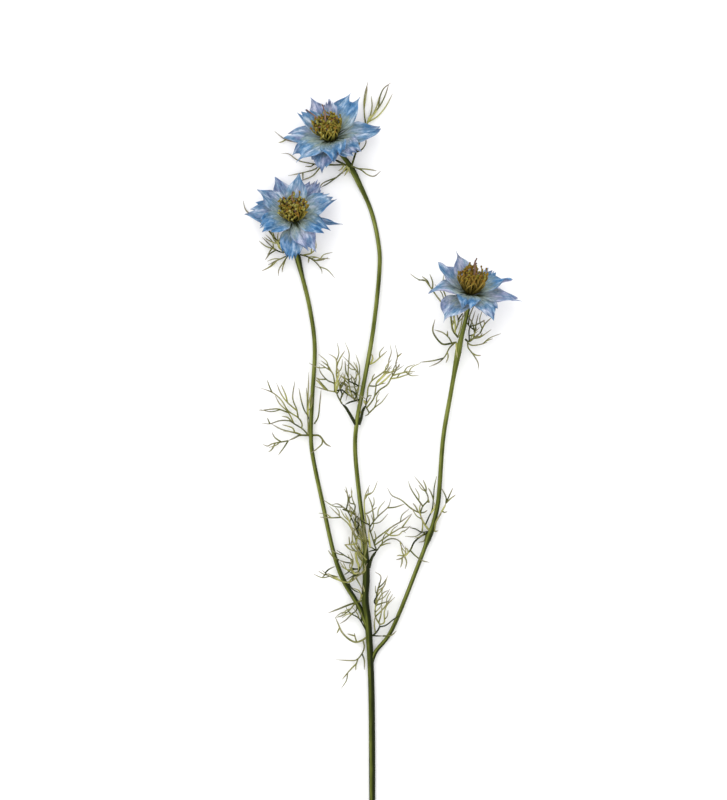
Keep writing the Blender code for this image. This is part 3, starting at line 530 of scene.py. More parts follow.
        (0, -0.7, (-34, 474), (-37.5, 473.5), (-39.5, 472), (-43.5, 472)),
        (-2, -0.8, (-14.5, 471), (-18, 469), (-23.5, 464.5), (-28.5, 461), (-34, 458)),
        (1, -0.2, (-23.5, 464.5), (-29, 462.5), (-32.5, 460.5), (-34, 458)),
        (3, 1, (-15.5, 472), (-18, 470), (-19, 467)),
        (3, 1, (-14.5, 471.5), (-16, 469), (-18, 465.5)),
        (3, 1, (-17, 473), (-15, 470), (-14.5, 467.5)),
        (2, 0.6, (-18, 472), (-20, 470), (-22, 469)),
    )),
    "flower_1_spray": (4.6, (
        (-3, -0.5, (-13.5, 471.5), (-10, 482.5), (-6, 493), (-2.5, 501.5)),
        (0, 1, (-2.5, 500.5), (0, 504.5), (3, 508.5), (6, 513)),
        (2, 0, (3, 508.5), (6, 513), (8.5, 518), (11, 525.5)),
        (2, -0.4, (4.5, 510.5), (5, 516.5), (7.5, 522.5), (12.5, 526.5)),
        (1, 0.3, (0.5, 505), (3, 511), (5, 518)),
        (1, 0, (-2, 502), (0, 510.5), (-0.5, 518)),
        (0, -0.1, (-4, 498), (-5, 507), (-5, 517), (-2.5, 527.5)),
        (1, 0, (-5, 510), (-4, 517.5), (-3, 524)),
        (0, 0.4, (-2.5, 500.5), (3.5, 504.5), (9, 511), (13.5, 519.5)),
        (1, 1, (-3, 499.5), (-1.5, 504), (2, 506.5)),
        (2, -0.4, (-13, 472), (-7, 469.5), (-3, 466.5), (1.5, 465.5), (6, 469)),
        (1, 0, (-9, 470), (-3, 470), (3, 469)),
        (0, -0.7, (-10, 481), (-6.5, 483), (-4, 487), (-4, 491)),
    )),
}

# How many fine threads fork off at random in each of the dense leaves
SIDE_THREADS = {
    "lower_leaf_left": 22, "lower_leaf_outer": 11, "joint_leaf_left": 3, "joint_leaf_right": 7,
    "base_leaf_left": 2, "lower_leaf_right": 12, "centre_leaf_left": 12, "centre_leaf_middle": 8,
    "centre_leaf_right": 14, "right_leaf_upper": 5, "flower_3_bract_right": 8, "flower_3_bract_left": 4,
    "flower_2_bracts": 12, "left_leaf": 4,
}

# Each layer of stamens: how many, then (distance from the axis, height) up a filament, mm
STAMEN_LAYERS = (
    (38, ((3.9, 0.6), (6.4, 5.0), (9.0, 10.5), (9.6, 14.2))),
    (34, ((3.6, 1.4), (5.2, 6.0), (7.0, 11.5), (6.9, 15.0))),
    (26, ((3.4, 2.2), (4.0, 7.0), (4.6, 12.0), (4.0, 14.2))),
    (16, ((3.3, 2.8), (3.5, 7.0), (3.2, 11.0), (2.4, 12.8))),
)
FILAMENT_RADII = (0.506, 0.345)
FILAMENT_STEP = 0.9
# How much chance changes each filament: degrees at its foot, degrees more for every point further up, its
# distance and height as shares, and mm that its end bends in or out
FOOT_CHANCE = 7
LEAN_CHANCE = 16
DISTANCE_CHANCE = (0.88, 1.1)
HEIGHT_CHANCE = (0.84, 1.08)
END_CHANCE = (-2.2, 0.6)
ANTHER_LENGTH = 2.3
ANTHER_RADIUS = 0.68
ANTHER_THINNEST = 0.15  # share of its radius
ANTHER_STEPS = 6
ANTHER_BLUNTNESS = 0.35  # of a step
ANTHER_OVERLAP = 0.4  # share of the anther that lies below the filament's end
ANTHER_TURN = 110  # degrees to either side that chance turns its lean
ANTHER_TILT = 0.9  # slope of its lean against the filament
# How pale the palest anthers are, and how brown the filaments, from 0 to 1
CROWN_TINTS = {"flower_1": (0.95, 0.1), "flower_2": (1.0, 0.15), "flower_3": (0.7, 0.6)}
ANTHER_SPREAD = 0.85
STYLE_RADII = (0.78, 0.34)
STYLE_KNOB = (1.5, 1.2)  # the last two radii, as shares of the thin one
STYLE_STEP = 0.7
STYLE_SWING = 25  # degrees that a style may wander to either side
STYLE_FOOT = (0.6, 7.0)  # distance from the axis and height, inside the pod
# Two points up a style: the share of its swing, its distance from the axis as millimetres and a share of the
# tip's distance, and the share of its climb
STYLE_COURSE = ((-1.0, 1.4, 0.1, 0.45), (0.5, 0.0, 0.5, 0.85))
POD_PROFILE = (
    (1.5, -4.2), (2.4, -3.0), (2.9, -1.4), (2.6, 0.4), (3.2, 3.0), (3.3, 5.4), (2.4, 7.6), (1.1, 9.0),
    (0.2, 9.5),
)
POD_SIDES = 40
POD_LOBES = 5
POD_GROOVE = 0.1  # share of the radius
POD_GROOVE_SHARPNESS = 6
POD_SHOULDER = 8.0  # height that the styles climb from

# Camera: its aim on the spray's plane in mm, its height and the length of spray in view in metres
CAMERA_AIM = (-5.5, 320.0, 6.0)
CAMERA_HEIGHT = 3.0
CAMERA_REACH = 20.0
SENSOR_WIDTH = 36.0
VIEW_LENGTH = 0.520

# Surroundings, in metres: each light's place, size and strength, then what both of them aim at
LIGHTS = {"key": ((-1.0, 1.2, 2.5), 2.6, 27.0), "fill": ((1.4, -0.8, 2.3), 2.6, 10.0)}
LIGHT_AIM = (0, 0.05, 0)
SURROUND_STRENGTH = 1.05
FLOOR_SIZE = 12.0


def placed(point):
    """Route coordinates in millimetres to the frame's metres."""
    return (Vector(point) - SPRAY_CENTRE) * MM


def read_off(table, place):
    """The value that a table of (place, value) gives at a place."""
    return float(np.interp(place, [spot for spot, _ in table], [value for _, value in table]))


def ease(value):
    """0 to 1, with a soft start and a soft end."""
    value = max(0.0, min(1.0, value))
    return value * value * (3 - 2 * value)


def between(ends, share):
    """The value at a share of the way from the first end to the second."""
    return ends[0] + (ends[1] - ends[0]) * share


def shares_of(route):
    """How far along a route each of its points is, from 0 to 1."""
    return [index / (len(route) - 1) for index in range(len(route))]


def smooth_route(points, step):
    """A Catmull-Rom curve through the points, with a point about every step."""
    points = [Vector(point) for point in points]
    ends = [2 * points[0] - points[1], *points, 2 * points[-1] - points[-2]]
    route = [points[0]]
    for a, b, c, d in zip(ends, ends[1:], ends[2:], ends[3:]):
        count = max(1, round((c - b).length / step))
        for index in range(1, count + 1):
            t = index / count
            even = 2 * b + (2 * a - 5 * b + 4 * c - d) * t * t
            odd = (c - a) * t + (3 * b - a - 3 * c + d) * t * t * t
            route.append((even + odd) / 2)
    return route


class Head:
    """The frame of a flower head: its axis points out of the flower, azimuth 0 lies towards +X."""

    def __init__(self, centre, heading, lean):
        heading, lean = math.radians(heading), math.radians(lean)
        flat = math.sin(lean)
        self.centre = Vector(centre)
        self.axis = Vector((flat * math.cos(heading), flat * math.sin(heading), math.cos(lean)))
        self.side = (Vector((1, 0, 0)) - self.axis * self.axis.x).normalized()
        self.far = self.axis.cross(self.side)

    def outward(self, azimuth):
        angle = math.radians(azimuth)
        return math.cos(angle) * self.side + math.sin(angle) * self.far

    def point(self, azimuth, distance, height):
        """A point by its distance from the axis and its height along it."""
        return self.centre + self.outward(azimuth) * distance + self.axis * height


class Shape:
    """A mesh in the making: points in millimetres, faces, and one list for each named value at the points."""

    def __init__(self, *value_names):
        self.points = []
        self.faces = []
        self.values = {name: [] for name in value_names}

    def add_point(self, point, **values):
        self.points.append(point)
        for name, kept in self.values.items():
            kept.append(values.get(name, 0.0))
        return len(self.points) - 1

    def tube(self, route, radii, sides, profile=None, **values):
        """A closed tube. radii and list values go by the route's points; profile scales it round the tube."""
        tangents = [(b - a).normalized() for a, b in zip(route, route[1:])]
        tangents.append(tangents[-1])
        across = Vector((1, 0, 0)) if abs(tangents[0].x) < 0.8 else Vector((0, 1, 0))
        rings = []
        travelled = 0.0
        for index, (spot, tangent, radius) in enumerate(zip(route, tangents, radii)):
            across = (across - tangent * across.dot(tangent)).normalized()
            other = tangent.cross(across)
            if index:
                travelled += (spot - route[index - 1]).length
            given = {
                name: value[index] if isinstance(value, list) else value for name, value in values.items()
            }
            ring = []
            for side in range(sides):
                angle = math.tau * side / sides
                reach = radius * (profile(angle) if profile else 1.0)
                offset = (across * math.cos(angle) + other * math.sin(angle)) * reach
                given.update(grain_x=math.cos(angle), grain_y=math.sin(angle), grain_z=travelled)
                ring.append(self.add_point(spot + offset, **given))
            rings.append(ring)
        for low, high in zip(rings, rings[1:]):
            for side in range(sides):
                following = (side + 1) % sides
                self.faces.append((low[side], low[following], high[following], high[side]))
        self.faces.append(tuple(reversed(rings[0])))
        self.faces.append(tuple(rings[-1]))

    def build(self, name, material, node):
        """Makes the piece, which stands for the CAD node and rides with the spray."""
        mesh = bpy.data.meshes.new(name)
        mesh.from_pydata([placed(point) for point in self.points], [], self.faces)
        for value_name, kept in self.values.items():
            layer = mesh.attributes.new(value_name, "FLOAT", "POINT")
            layer.data.foreach_set("value", kept)
        mesh.materials.append(material)
        mesh.shade_smooth()
        piece = bpy.data.objects.new(name, mesh)
        bpy.context.scene.collection.objects.link(piece)
        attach(piece, "root")
        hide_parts(node)
        return piece


class Nodes:
    """A short way to write a material's node tree. An input is a number or the output of another node."""

    def __init__(self, name, roughness, gloss=0.15):
        self.material = bpy.data.materials.new(name)
        self.material.use_nodes = True
        self.tree = self.material.node_tree
        self.shader = self.tree.nodes["Principled BSDF"]
        self.shader.inputs["Roughness"].default_value = roughness
        self.shader.inputs["Specular IOR Level"].default_value = gloss

    def add(self, kind, inputs=None, **settings):
        node = self.tree.nodes.new(kind)
        for key, value in settings.items():
            setattr(node, key, value)
        for key, value in (inputs or {}).items():
            if isinstance(value, bpy.types.NodeSocket):
                self.tree.links.new(value, node.inputs[key])
            else:
                node.inputs[key].default_value = value
        return node

    def value(self, name):
        """One of the named values at the points."""
        return self.add("ShaderNodeAttribute", attribute_name=name).outputs["Fac"]

    def maths(self, operation, first, second=0.0):
        return self.add("ShaderNodeMath", {0: first, 1: second}, operation=operation).outputs[0]

    def span(self, value, low, high, out_low=0.0, out_high=1.0):
        """The value, moved from one range to another and kept inside it."""
        inputs = {"Value": value, "From Min": low, "From Max": high, "To Min": out_low, "To Max": out_high}
        return self.add("ShaderNodeMapRange", inputs).outputs["Result"]

    def vector(self, x, y, z):
        return self.add("ShaderNodeCombineXYZ", {0: x, 1: y, 2: z}).outputs[0]

    def noise(self, scale, detail=3.0, vector=None):
        if vector is None:
            vector = self.add("ShaderNodeTexCoord").outputs["Object"]
        inputs = {"Scale": scale, "Detail": detail, "Vector": vector}
        return self.add("ShaderNodeTexNoise", inputs).outputs["Fac"]

    def petal_noise(self, across, along, seed):
        """Noise in the petal's own space, with its own scale across and along the petal."""
        scales = (("across", across), ("along", along), ("seed", seed))
        place = [self.maths("MULTIPLY", self.value(name), scale) for name, scale in scales]
        return self.noise(1.0, 4.0, self.vector(*place))

    def ramp(self, value, *stops):
        """Colours that go by the value, each stop a (value, colour)."""
        node = self.add("ShaderNodeValToRGB", {"Fac": value})
        elements = node.color_ramp.elements
        while len(elements) < len(stops):
            elements.new(0.5)
        for element, (position, colour) in zip(elements, stops):
            element.position = position
            element.color = (*colour, 1.0)
        return node.outputs["Color"]

    def mix(self, share, first, second):
        node = self.add("ShaderNodeMix", data_type="RGBA")
        sockets = {item.name: item for item in node.inputs if item.enabled}
        for key, value in (("Factor", share), ("A", first), ("B", second)):
            if isinstance(value, bpy.types.NodeSocket):
                self.tree.links.new(value, sockets[key])
            else:
                sockets[key].default_value = value if key == "Factor" else (*value, 1.0)
        return [item for item in node.outputs if item.enabled][0]

    def colour(self, socket):
        self.tree.links.new(socket, self.shader.inputs["Base Color"])

    def bump(self, height, distance, strength=1.0):
        node = self.add("ShaderNodeBump", {"Height": height, "Distance": distance, "Strength": strength})
        self.tree.links.new(node.outputs["Normal"], self.shader.inputs["Normal"])


def petal_material():
    """Matt petals: pale green claws with painted shade near the crown, blue blades with lilac and pale
    streaks, fine veins, some dark edges.
    """
    nodes = Nodes("petal", 0.85)
    along, across = nodes.value("along"), nodes.value("across")
    streaks = nodes.petal_noise(3.2, 3.4, 40.0)
    patches = nodes.petal_noise(1.7, 3.2, 90.0)
    flecks = nodes.petal_noise(11.0, 12.0, 60.0)
    fleck = nodes.span(flecks, 0.35, 0.65, -0.15, 0.18)
    mottle = nodes.maths("ADD", nodes.span(streaks, 0.32, 0.68), fleck)
    blue = nodes.ramp(
        mottle,
        (0.0, (0.045, 0.125, 0.235)), (0.33, (0.125, 0.250, 0.410)), (0.66, (0.255, 0.390, 0.540)),
        (1.0, (0.58, 0.69, 0.82)),
    )
    lilac = nodes.ramp(
        mottle, (0.0, (0.15, 0.20, 0.36)), (0.5, (0.34, 0.39, 0.58)), (1.0, (0.72, 0.74, 0.88)),
    )
    bright = nodes.ramp(
        mottle, (0.0, (0.03, 0.12, 0.29)), (0.5, (0.095, 0.255, 0.50)), (1.0, (0.36, 0.53, 0.74)),
    )
    hue = nodes.maths("ADD", nodes.value("hue"), nodes.span(patches, 0.35, 0.65, -0.8, 0.6))
    blade = nodes.mix(nodes.span(hue, 0.0, 1.0), blue, lilac)
    blade = nodes.mix(nodes.span(hue, 0.0, -1.0), blade, bright)
    vein_wave = nodes.maths("SINE", nodes.maths("MULTIPLY", across, math.pi * VEINS))
    vein = nodes.span(nodes.maths("ABSOLUTE", vein_wave), 0.3, 0.0, 0.0, 0.5)
    blade = nodes.mix(vein, blade, (0.05, 0.12, 0.27))
    reach = nodes.maths("ADD", along, nodes.span(streaks, 0.3, 0.7, -0.1, 0.16))
    # Painted shade near the crown: the pale zone is flecked between a shaded teal and greenish white, and the
    # claw turns near black at its root, for the shade under the stamens.
    pale = nodes.mix(nodes.span(flecks, 0.35, 0.65), (0.26, 0.36, 0.32), (0.52, 0.60, 0.50))
    claw_and_painted_shade = nodes.mix(nodes.span(reach, 0.12, 0.28), (0.045, 0.060, 0.018), pale)
    top = nodes.mix(nodes.span(reach, 0.24, 0.6), claw_and_painted_shade, blade)
    edge = nodes.maths("ADD", nodes.value("edge"), nodes.span(patches, 0.35, 0.68, -0.22, 0.08))
    top = nodes.mix(nodes.span(edge, 0.86, 1.06, 0.0, 0.9), top, (0.025, 0.075, 0.170))
    under = nodes.mix(nodes.span(streaks, 0.35, 0.65), (0.27, 0.30, 0.48), (0.52, 0.53, 0.70))
    under = nodes.mix(nodes.span(edge, 0.9, 1.04, 0.0, 0.8), under, (0.04, 0.09, 0.20))
    nodes.colour(nodes.mix(nodes.value("under"), top, under))
    nodes.bump(nodes.maths("ADD", mottle, nodes.maths("MULTIPLY", vein, -0.8)), 0.0008, 0.8)
    return nodes.material


def stem_material():
    """Olive green stems with long fibres, nearly black at the forks and necks, with painted shade down the
    side away from the key light (+X) and painted light down the other.
    """
    nodes = Nodes("stem", 0.5, 0.06)
    round_x, round_y, length = nodes.value("grain_x"), nodes.value("grain_y"), nodes.value("grain_z")
    fibres = nodes.noise(1.6, 4.0, nodes.vector(round_x, round_y, nodes.maths("MULTIPLY", length, 0.03)))
    blotches = nodes.noise(0.08, 3.0, nodes.vector(round_x, round_y, length))
    # Painted light and shade: each stem is darker down its +X side and lighter down its -X side, as if lit
    # from the left, more so where the stem is dark.
    painted_side_shade = nodes.maths("MULTIPLY", nodes.span(round_x, -0.3, 0.6, -0.4, 0.6), nodes.value("dark"))
    dark = nodes.value("dark")
    streak, blotch = nodes.span(fibres, 0.35, 0.65, -0.3, 0.3), nodes.span(blotches, 0.35, 0.65, -0.12, 0.12)
    for change in (painted_side_shade, streak, blotch):
        dark = nodes.maths("ADD", dark, change)
    green = nodes.ramp(
        nodes.span(dark, 0.0, 1.4),
        (0.0, (0.235, 0.260, 0.070)), (0.3, (0.125, 0.145, 0.026)), (0.6, (0.046, 0.058, 0.008)),
        (1.0, (0.011, 0.015, 0.003)),
    )
    nodes.colour(nodes.mix(nodes.value("cut"), green, (0.42, 0.45, 0.22)))
    nodes.bump(fibres, 0.0005, 0.6)
    return nodes.material


def frond_material():
    """Threads from nearly black stalks over olive and yellow-green to grey-brown, slightly purple tips."""
    nodes = Nodes("frond", 0.6)
    tone, along = nodes.value("tone"), nodes.value("along")
    speckle = nodes.span(nodes.noise(130.0, 3.0), 0.35, 0.65, -0.35, 0.35)
    body = nodes.ramp(
        nodes.span(nodes.maths("ADD", tone, speckle), -1.2, 1.2),
        (0.0, (0.016, 0.021, 0.003)), (0.12, (0.062, 0.070, 0.014)), (0.3, (0.125, 0.128, 0.034)),
        (0.5, (0.215, 0.213, 0.066)), (0.75, (0.34, 0.34, 0.10)), (1.0, (0.50, 0.49, 0.17)),
    )
    tip = nodes.ramp(nodes.noise(60.0), (0.35, (0.27, 0.25, 0.16)), (0.65, (0.25, 0.20, 0.18)))
    nodes.colour(nodes.mix(nodes.span(along, 0.45, 1.0, 0.0, 0.85), body, tip))
    nodes.bump(nodes.noise(900.0), 0.0002, 0.4)
    return nodes.material


def pod_material():
    """A ribbed dark green pod, partly its own green and partly painted shade between the stamens, with styles
    that turn from green to reddish brown.
    """
    nodes = Nodes("seed_pod", 0.5)
    # The pod's green is kept dark so that the gaps in the crown read as shade: partly its own colour, partly
    # painted shade.
    green = nodes.ramp(nodes.noise(400.0), (0.3, (0.04, 0.045, 0.006)), (0.7, (0.12, 0.12, 0.02)))
    style = nodes.ramp(
        nodes.value("along"),
        (0.0, (0.18, 0.15, 0.05)), (0.4, (0.30, 0.19, 0.14)), (0.75, (0.18, 0.10, 0.07)),
        (1.0, (0.09, 0.05, 0.035)),
    )
    nodes.colour(nodes.mix(nodes.value("style"), green, style))
    nodes.bump(nodes.noise(900.0), 0.0002, 0.4)
    return nodes.material


def stamen_material():
    """Golden olive or brown filaments, nearly black at their foot as painted shade deep in the crown, with
    gold to orange-brown anthers.
    """
    nodes = Nodes("stamen", 0.6)
    tone, along = nodes.value("tone"), nodes.value("along")
    # All three filament ramps start near black at the foot: painted shade where the filaments crowd together
    # inside the crown.
    light = nodes.ramp(
        along,
        (0.0, (0.022, 0.026, 0.003)), (0.35, (0.12, 0.115, 0.012)), (0.75, (0.36, 0.31, 0.05)),
        (1.0, (0.33, 0.25, 0.04)),
    )
    dark = nodes.ramp(
        along, (0.0, (0.015, 0.018, 0.003)), (0.5, (0.075, 0.070, 0.007)), (1.0, (0.16, 0.12, 0.012)),
    )
    brown = nodes.ramp(
        along, (0.0, (0.030, 0.020, 0.003)), (0.5, (0.15, 0.08, 0.010)), (1.0, (0.32, 0.18, 0.035)),
    )
    filament = nodes.mix(nodes.value("brown"), nodes.mix(tone, light, dark), brown)
    anther = nodes.ramp(
        tone,
        (0.0, (0.13, 0.055, 0.01)), (0.3, (0.24, 0.135, 0.014)), (0.6, (0.19, 0.165, 0.018)),
        (1.0, (0.38, 0.35, 0.10)),
    )
    nodes.colour(nodes.mix(nodes.value("anther"), filament, anther))
    nodes.bump(nodes.noise(1500.0), 0.0002, 0.5)
    return nodes.material


def floor_material():
    """A plain near-white table."""
    nodes = Nodes("floor", 0.9)
    nodes.colour(nodes.ramp(nodes.noise(3.0), (0.0, (0.95, 0.95, 0.95)), (1.0, (0.98, 0.98, 0.98))))
    return nodes.material


def make_stem(name, route, head, widths, shades, material):
    """A ribbed tube that runs straight into its flower; the main stem's cut end is pale."""
    neck = [head.centre - head.axis * (STEM_SETBACK + STRAIGHT_NECK), head.centre - head.axis * STEM_SETBACK]
    curve = smooth_route([*route, *neck], STEM_STEP)
    radii = [read_off(widths, spot.y) for spot in curve]
    dark = [read_off(shades, spot.y) for spot in curve]
    cut = [0.0] * len(curve)
    if name == "main_stem":
        radii[0] *= CUT_BEVEL
        cut[0] = 1.0
    shape = Shape("dark", "cut", "grain_x", "grain_y", "grain_z")
    shape.tube(
        curve, radii, STEM_SIDES, lambda angle: 1 + STEM_RIDGE_DEPTH * math.cos(STEM_RIDGES * angle),
        dark=dark, cut=cut,
    )
    shape.build(name + "_fine", material, name)


def midrib(lift, curl):
    """A petal of length 1 that arches over and curls: shares of its length, distances, heights, slopes."""
    shares = np.linspace(0.0, 1.0, MIDRIB_POINTS)
    curled = np.clip((shares - CURL_START) / (1 - CURL_START), 0, 1) ** 1.5
    slopes = lift + PETAL_ARCH * (0.5 - shares) + 2 * curl * curled
    step = shares[1]
    distances = np.concatenate(([0.0], np.cumsum(np.cos(np.radians(slopes)) * step)[:-1]))
    heights = np.concatenate(([0.0], np.cumsum(np.sin(np.radians(slopes)) * step)[:-1]))
    return shares, distances, heights, slopes


def blade_width(share):
    """Half width of a petal at a share of its length, as a share of its greatest."""
    widening = between((CLAW_WIDTH, 1), ease((share - CLAW_END) / (BLADE_FULL - CLAW_END)))
    return widening * between((1, TIP_WIDTH), ease((share - TIP_START) / (1 - TIP_START)))


def column_place(column):
    """Where a column of points lies across a petal, from -1 to 1."""
    return -1 + 2 * column / (PETAL_COLUMNS - 1)


def petal_surface(head, row, phases, pleats, sway):
    """A petal's middle surface: its points, their shares of the length, and how near they are to the edge."""
    azimuth, lift, length, width, ring, tip, curl, twist, _ = row
    shares, distances, heights, slopes = midrib(lift, curl)
    side = head.outward(azimuth + 90)
    out = head.outward(azimuth)
    spots = np.empty((PETAL_COLUMNS, PETAL_ROWS, 3))
    alongs, edges = np.empty((2, PETAL_COLUMNS, PETAL_ROWS))
    for column in range(PETAL_COLUMNS):
        place = column_place(column)
        limit = read_off(TIPS[tip], place)
        for line in range(PETAL_ROWS):
            share = limit * line / (PETAL_ROWS - 1)
            half = blade_width(share) * width / 2
            slope = math.radians(np.interp(share, shares, slopes))
            turn = math.radians(twist) * ease((share - TWIST_START) / (1 - TWIST_START))
            upward = head.axis * math.cos(slope) - out * math.sin(slope)
            flat = side * math.cos(turn) + upward * math.sin(turn)
            normal = upward * math.cos(turn) - side * math.sin(turn)
            reach = CLAW_START + length * np.interp(share, shares, distances)
            rise = RING_LEVEL[ring] + length * np.interp(share, shares, heights)
            pleat = RUFFLE * share ** 1.5 * math.sin(pleats * math.pi * place + phases[0])
            wave = math.sin(EDGE_WAVE_ANGLE * share + phases[1] + 2 * place)
            wave *= EDGE_WAVE * place * place * share
            trough = PETAL_TROUGH * half * place * place
            crease = CREASE_DEPTH * math.exp(-(place / CREASE_WIDTH) ** 2) * ease(share / CREASE_FULL)
            spot = head.centre + out * reach + head.axis * rise
            spot = spot + flat * (place * half) + side * (sway * length * share * share)
            spots[column, line] = spot + normal * (pleat + wave + trough - crease)
            alongs[column, line] = share
            from_side = abs(place) ** 1.5 if share > EDGE_START[0] else 0.0
            from_tip = line / (PETAL_ROWS - 1) if share > EDGE_START[1] else 0.0
            edges[column, line] = max(from_side, from_tip)
    return spots, alongs, edges


def close_rim(shape, top, bottom):
    """Joins two skins of a petal all round."""
    last_column, last_line = PETAL_COLUMNS - 1, PETAL_ROWS - 1
    rim = [(0, line) for line in range(last_line)]
    rim += [(column, last_line) for column in range(last_column)]
    rim += [(last_column, line) for line in range(last_line, 0, -1)]
    rim += [(column, 0) for column in range(last_column, 0, -1)]
    for (c, r), (d, s) in zip(rim, rim[1:] + rim[:1]):
        shape.faces.append((top[c][r], top[d][s], bottom[d][s], bottom[c][r]))


def make_petal(name, head, row, material, chance):
    """A clawed, toothed blade, pleated, waved, twisted and curled, with two skins a thickness apart."""
    *phases, seed = (chance.uniform(0, math.tau) for _ in range(3))
    pleats = chance.uniform(*PLEATS)
    sway = chance.uniform(-SWAY, SWAY)
    spots, alongs, edges = petal_surface(head, row, phases, pleats, sway)
    over = np.cross(np.gradient(spots, axis=1), np.gradient(spots, axis=0))
    over /= np.linalg.norm(over, axis=2, keepdims=True) + 1e-9
    shape = Shape("along", "across", "edge", "under", "hue", "seed")
    skins = []
    for under in (0.0, 1.0):
        skin = spots + over * PETAL_THICKNESS * (0.5 - under)
        skins.append([
            [
                shape.add_point(
                    Vector(skin[column, line]), along=alongs[column, line], across=column_place(column),
                    edge=edges[column, line], under=under, hue=row[-1], seed=seed,
                )
                for line in range(PETAL_ROWS)
            ]
            for column in range(PETAL_COLUMNS)
        ])
    top, bottom = skins
    for column in range(PETAL_COLUMNS - 1):
        for line in range(PETAL_ROWS - 1):
            corners = ((column, line), (column, line + 1), (column + 1, line + 1), (column + 1, line))
            shape.faces.append(tuple(bottom[c][r] for c, r in corners))
            shape.faces.append(tuple(top[c][r] for c, r in reversed(corners)))
    close_rim(shape, top, bottom)
    shape.build(name + "_fine", material, name)


def make_seed_pod(name, head, style_tips, material, chance):
    """A five-lobed pod on its receptacle, and styles that wander out to their tips."""
    shape = Shape("style", "along")
    rings = []
    for radius, height in POD_PROFILE:
        ring = []
        for side in range(POD_SIDES):
            turn = 360 * side / POD_SIDES
            groove = abs(math.cos(math.radians(turn * POD_LOBES / 2))) ** POD_GROOVE_SHARPNESS
            lobe = 1 - POD_GROOVE * groove * (height > 0)
            ring.append(shape.add_point(head.point(turn, radius * lobe, height)))
        rings.append(ring)
    for low, high in zip(rings, rings[1:]):
        for side in range(POD_SIDES):
            following = (side + 1) % POD_SIDES
            shape.faces.append((low[side], low[following], high[following], high[side]))
    shape.faces.append(tuple(reversed(rings[0])))
    shape.faces.append(tuple(rings[-1]))
    for azimuth, distance, height in style_tips:
        swing = chance.uniform(-STYLE_SWING, STYLE_SWING)
        knots = [head.point(azimuth, *STYLE_FOOT)]
        for swung, base, spread, climbed in STYLE_COURSE:
            level = between((POD_SHOULDER, height), climbed)
            knots.append(head.point(azimuth + swing * swung, base + distance * spread, level))
        knots.append(head.point(azimuth, distance, height))
        route = smooth_route(knots, STYLE_STEP)
        along = shares_of(route)
        radii = [between(STYLE_RADII, share) for share in along]
        radii[-2:] = [STYLE_RADII[1] * share for share in STYLE_KNOB]
        shape.tube(route, radii, THREAD_SIDES, style=1.0, along=along)
    shape.build(name + "_fine", material, name)


def make_anther(shape, route, head, azimuth, palest, chance):
    """A blunt bean that lies across the end of a filament."""
    direction = (route[-1] - route[-2]).normalized()
    tilt = head.outward(azimuth + chance.uniform(-ANTHER_TURN, ANTHER_TURN)) * ANTHER_TILT
    heading = (direction + tilt).normalized()
    bean = []
    swell = []
    for step in range(ANTHER_STEPS + 1):
        bean.append(route[-1] + heading * ANTHER_LENGTH * (step / ANTHER_STEPS - ANTHER_OVERLAP))
        angle = math.pi * (step + ANTHER_BLUNTNESS) / (ANTHER_STEPS + 2 * ANTHER_BLUNTNESS)
        swell.append(ANTHER_RADIUS * max(ANTHER_THINNEST, math.sin(angle)))
    tint = palest * (1 - ANTHER_SPREAD * chance.random())
    shape.tube(bean, swell, THREAD_SIDES + 1, along=1.0, anther=1.0, tone=tint)


def make_stamens(name, head, palest, brown, material, chance):
    """A crowded crown of curved filaments in layers, each with its anther."""
    shape = Shape("along", "anther", "tone", "brown")
    for count, curve in STAMEN_LAYERS:
        for index in range(count):
            azimuth = 360 * index / count + chance.uniform(-FOOT_CHANCE, FOOT_CHANCE)
            lean = chance.uniform(-LEAN_CHANCE, LEAN_CHANCE)
            wide, tall = chance.uniform(*DISTANCE_CHANCE), chance.uniform(*HEIGHT_CHANCE)
            curl = chance.uniform(*END_CHANCE)
            tone = chance.random()
            knots = [head.point(azimuth, *curve[0])]
            for step, (distance, height) in enumerate(curve[1:], start=1):
                knots.append(head.point(azimuth + lean * step, distance * wide, height * tall))
            knots[-1] += head.outward(azimuth) * curl
            route = smooth_route(knots, FILAMENT_STEP)
            along = shares_of(route)
            radii = [between(FILAMENT_RADII, share) for share in along]
            shape.tube(route, radii, THREAD_SIDES, along=along, tone=tone, brown=brown)
            make_anther(shape, route, head, azimuth, palest, chance)
    shape.build(name + "_fine", material, name)


def nearest_on(point, routes):
    """The nearest point, seen from above, on any of the routes."""
    found = []
    for route in routes:
        for a, b in zip(route, route[1:]):
            span = (b - a).xy
            share = max(0.0, min(1.0, (Vector(point) - a.xy).dot(span) / span.length_squared))
            spot = a.lerp(b, share)
            found.append(((spot.xy - Vector(point)).length, spot))
    return min(found, key=lambda pair: pair[0])[1]


def thread_route(points, rise, start):
    """A smooth centreline from its start through the points, rising evenly."""
    path = [start.xy, *(Vector(point) for point in points[1:])]
    run = [0.0]
    for a, b in zip(path, path[1:]):
        run.append(run[-1] + (b - a).length)
    heights = [max(LOWEST_THREAD, start.z + rise * length / run[-1]) for length in run]
    return smooth_route([Vector((*spot, level)) for spot, level in zip(path, heights)], THREAD_STEP)


def side_thread(routes, chance):
    """A short thread that forks from the middle of one of the routes and bends back alongside it."""
    parent = chance.choice([route for route in routes if len(route) > SHORTEST_PARENT])
    place = chance.randrange(len(parent) // 5 + 1, 4 * len(parent) // 5)
    start = parent[place]
    forward = (parent[place + 1] - parent[place - 1]).xy.normalized()
    turn = chance.choice((-1, 1)) * math.radians(chance.uniform(*SIDE_TURN))
    length = chance.uniform(*SIDE_LENGTH)
    rise = chance.uniform(*SIDE_RISE)
    knots = [start]
    for share, bend in SIDE_BEND:
        angle = turn * bend
        x = forward.x * math.cos(angle) - forward.y * math.sin(angle)
        y = forward.x * math.sin(angle) + forward.y * math.cos(angle)
        knots.append(start + Vector((x * length * share, y * length * share, rise * share)))
    return smooth_route(knots, THREAD_STEP)


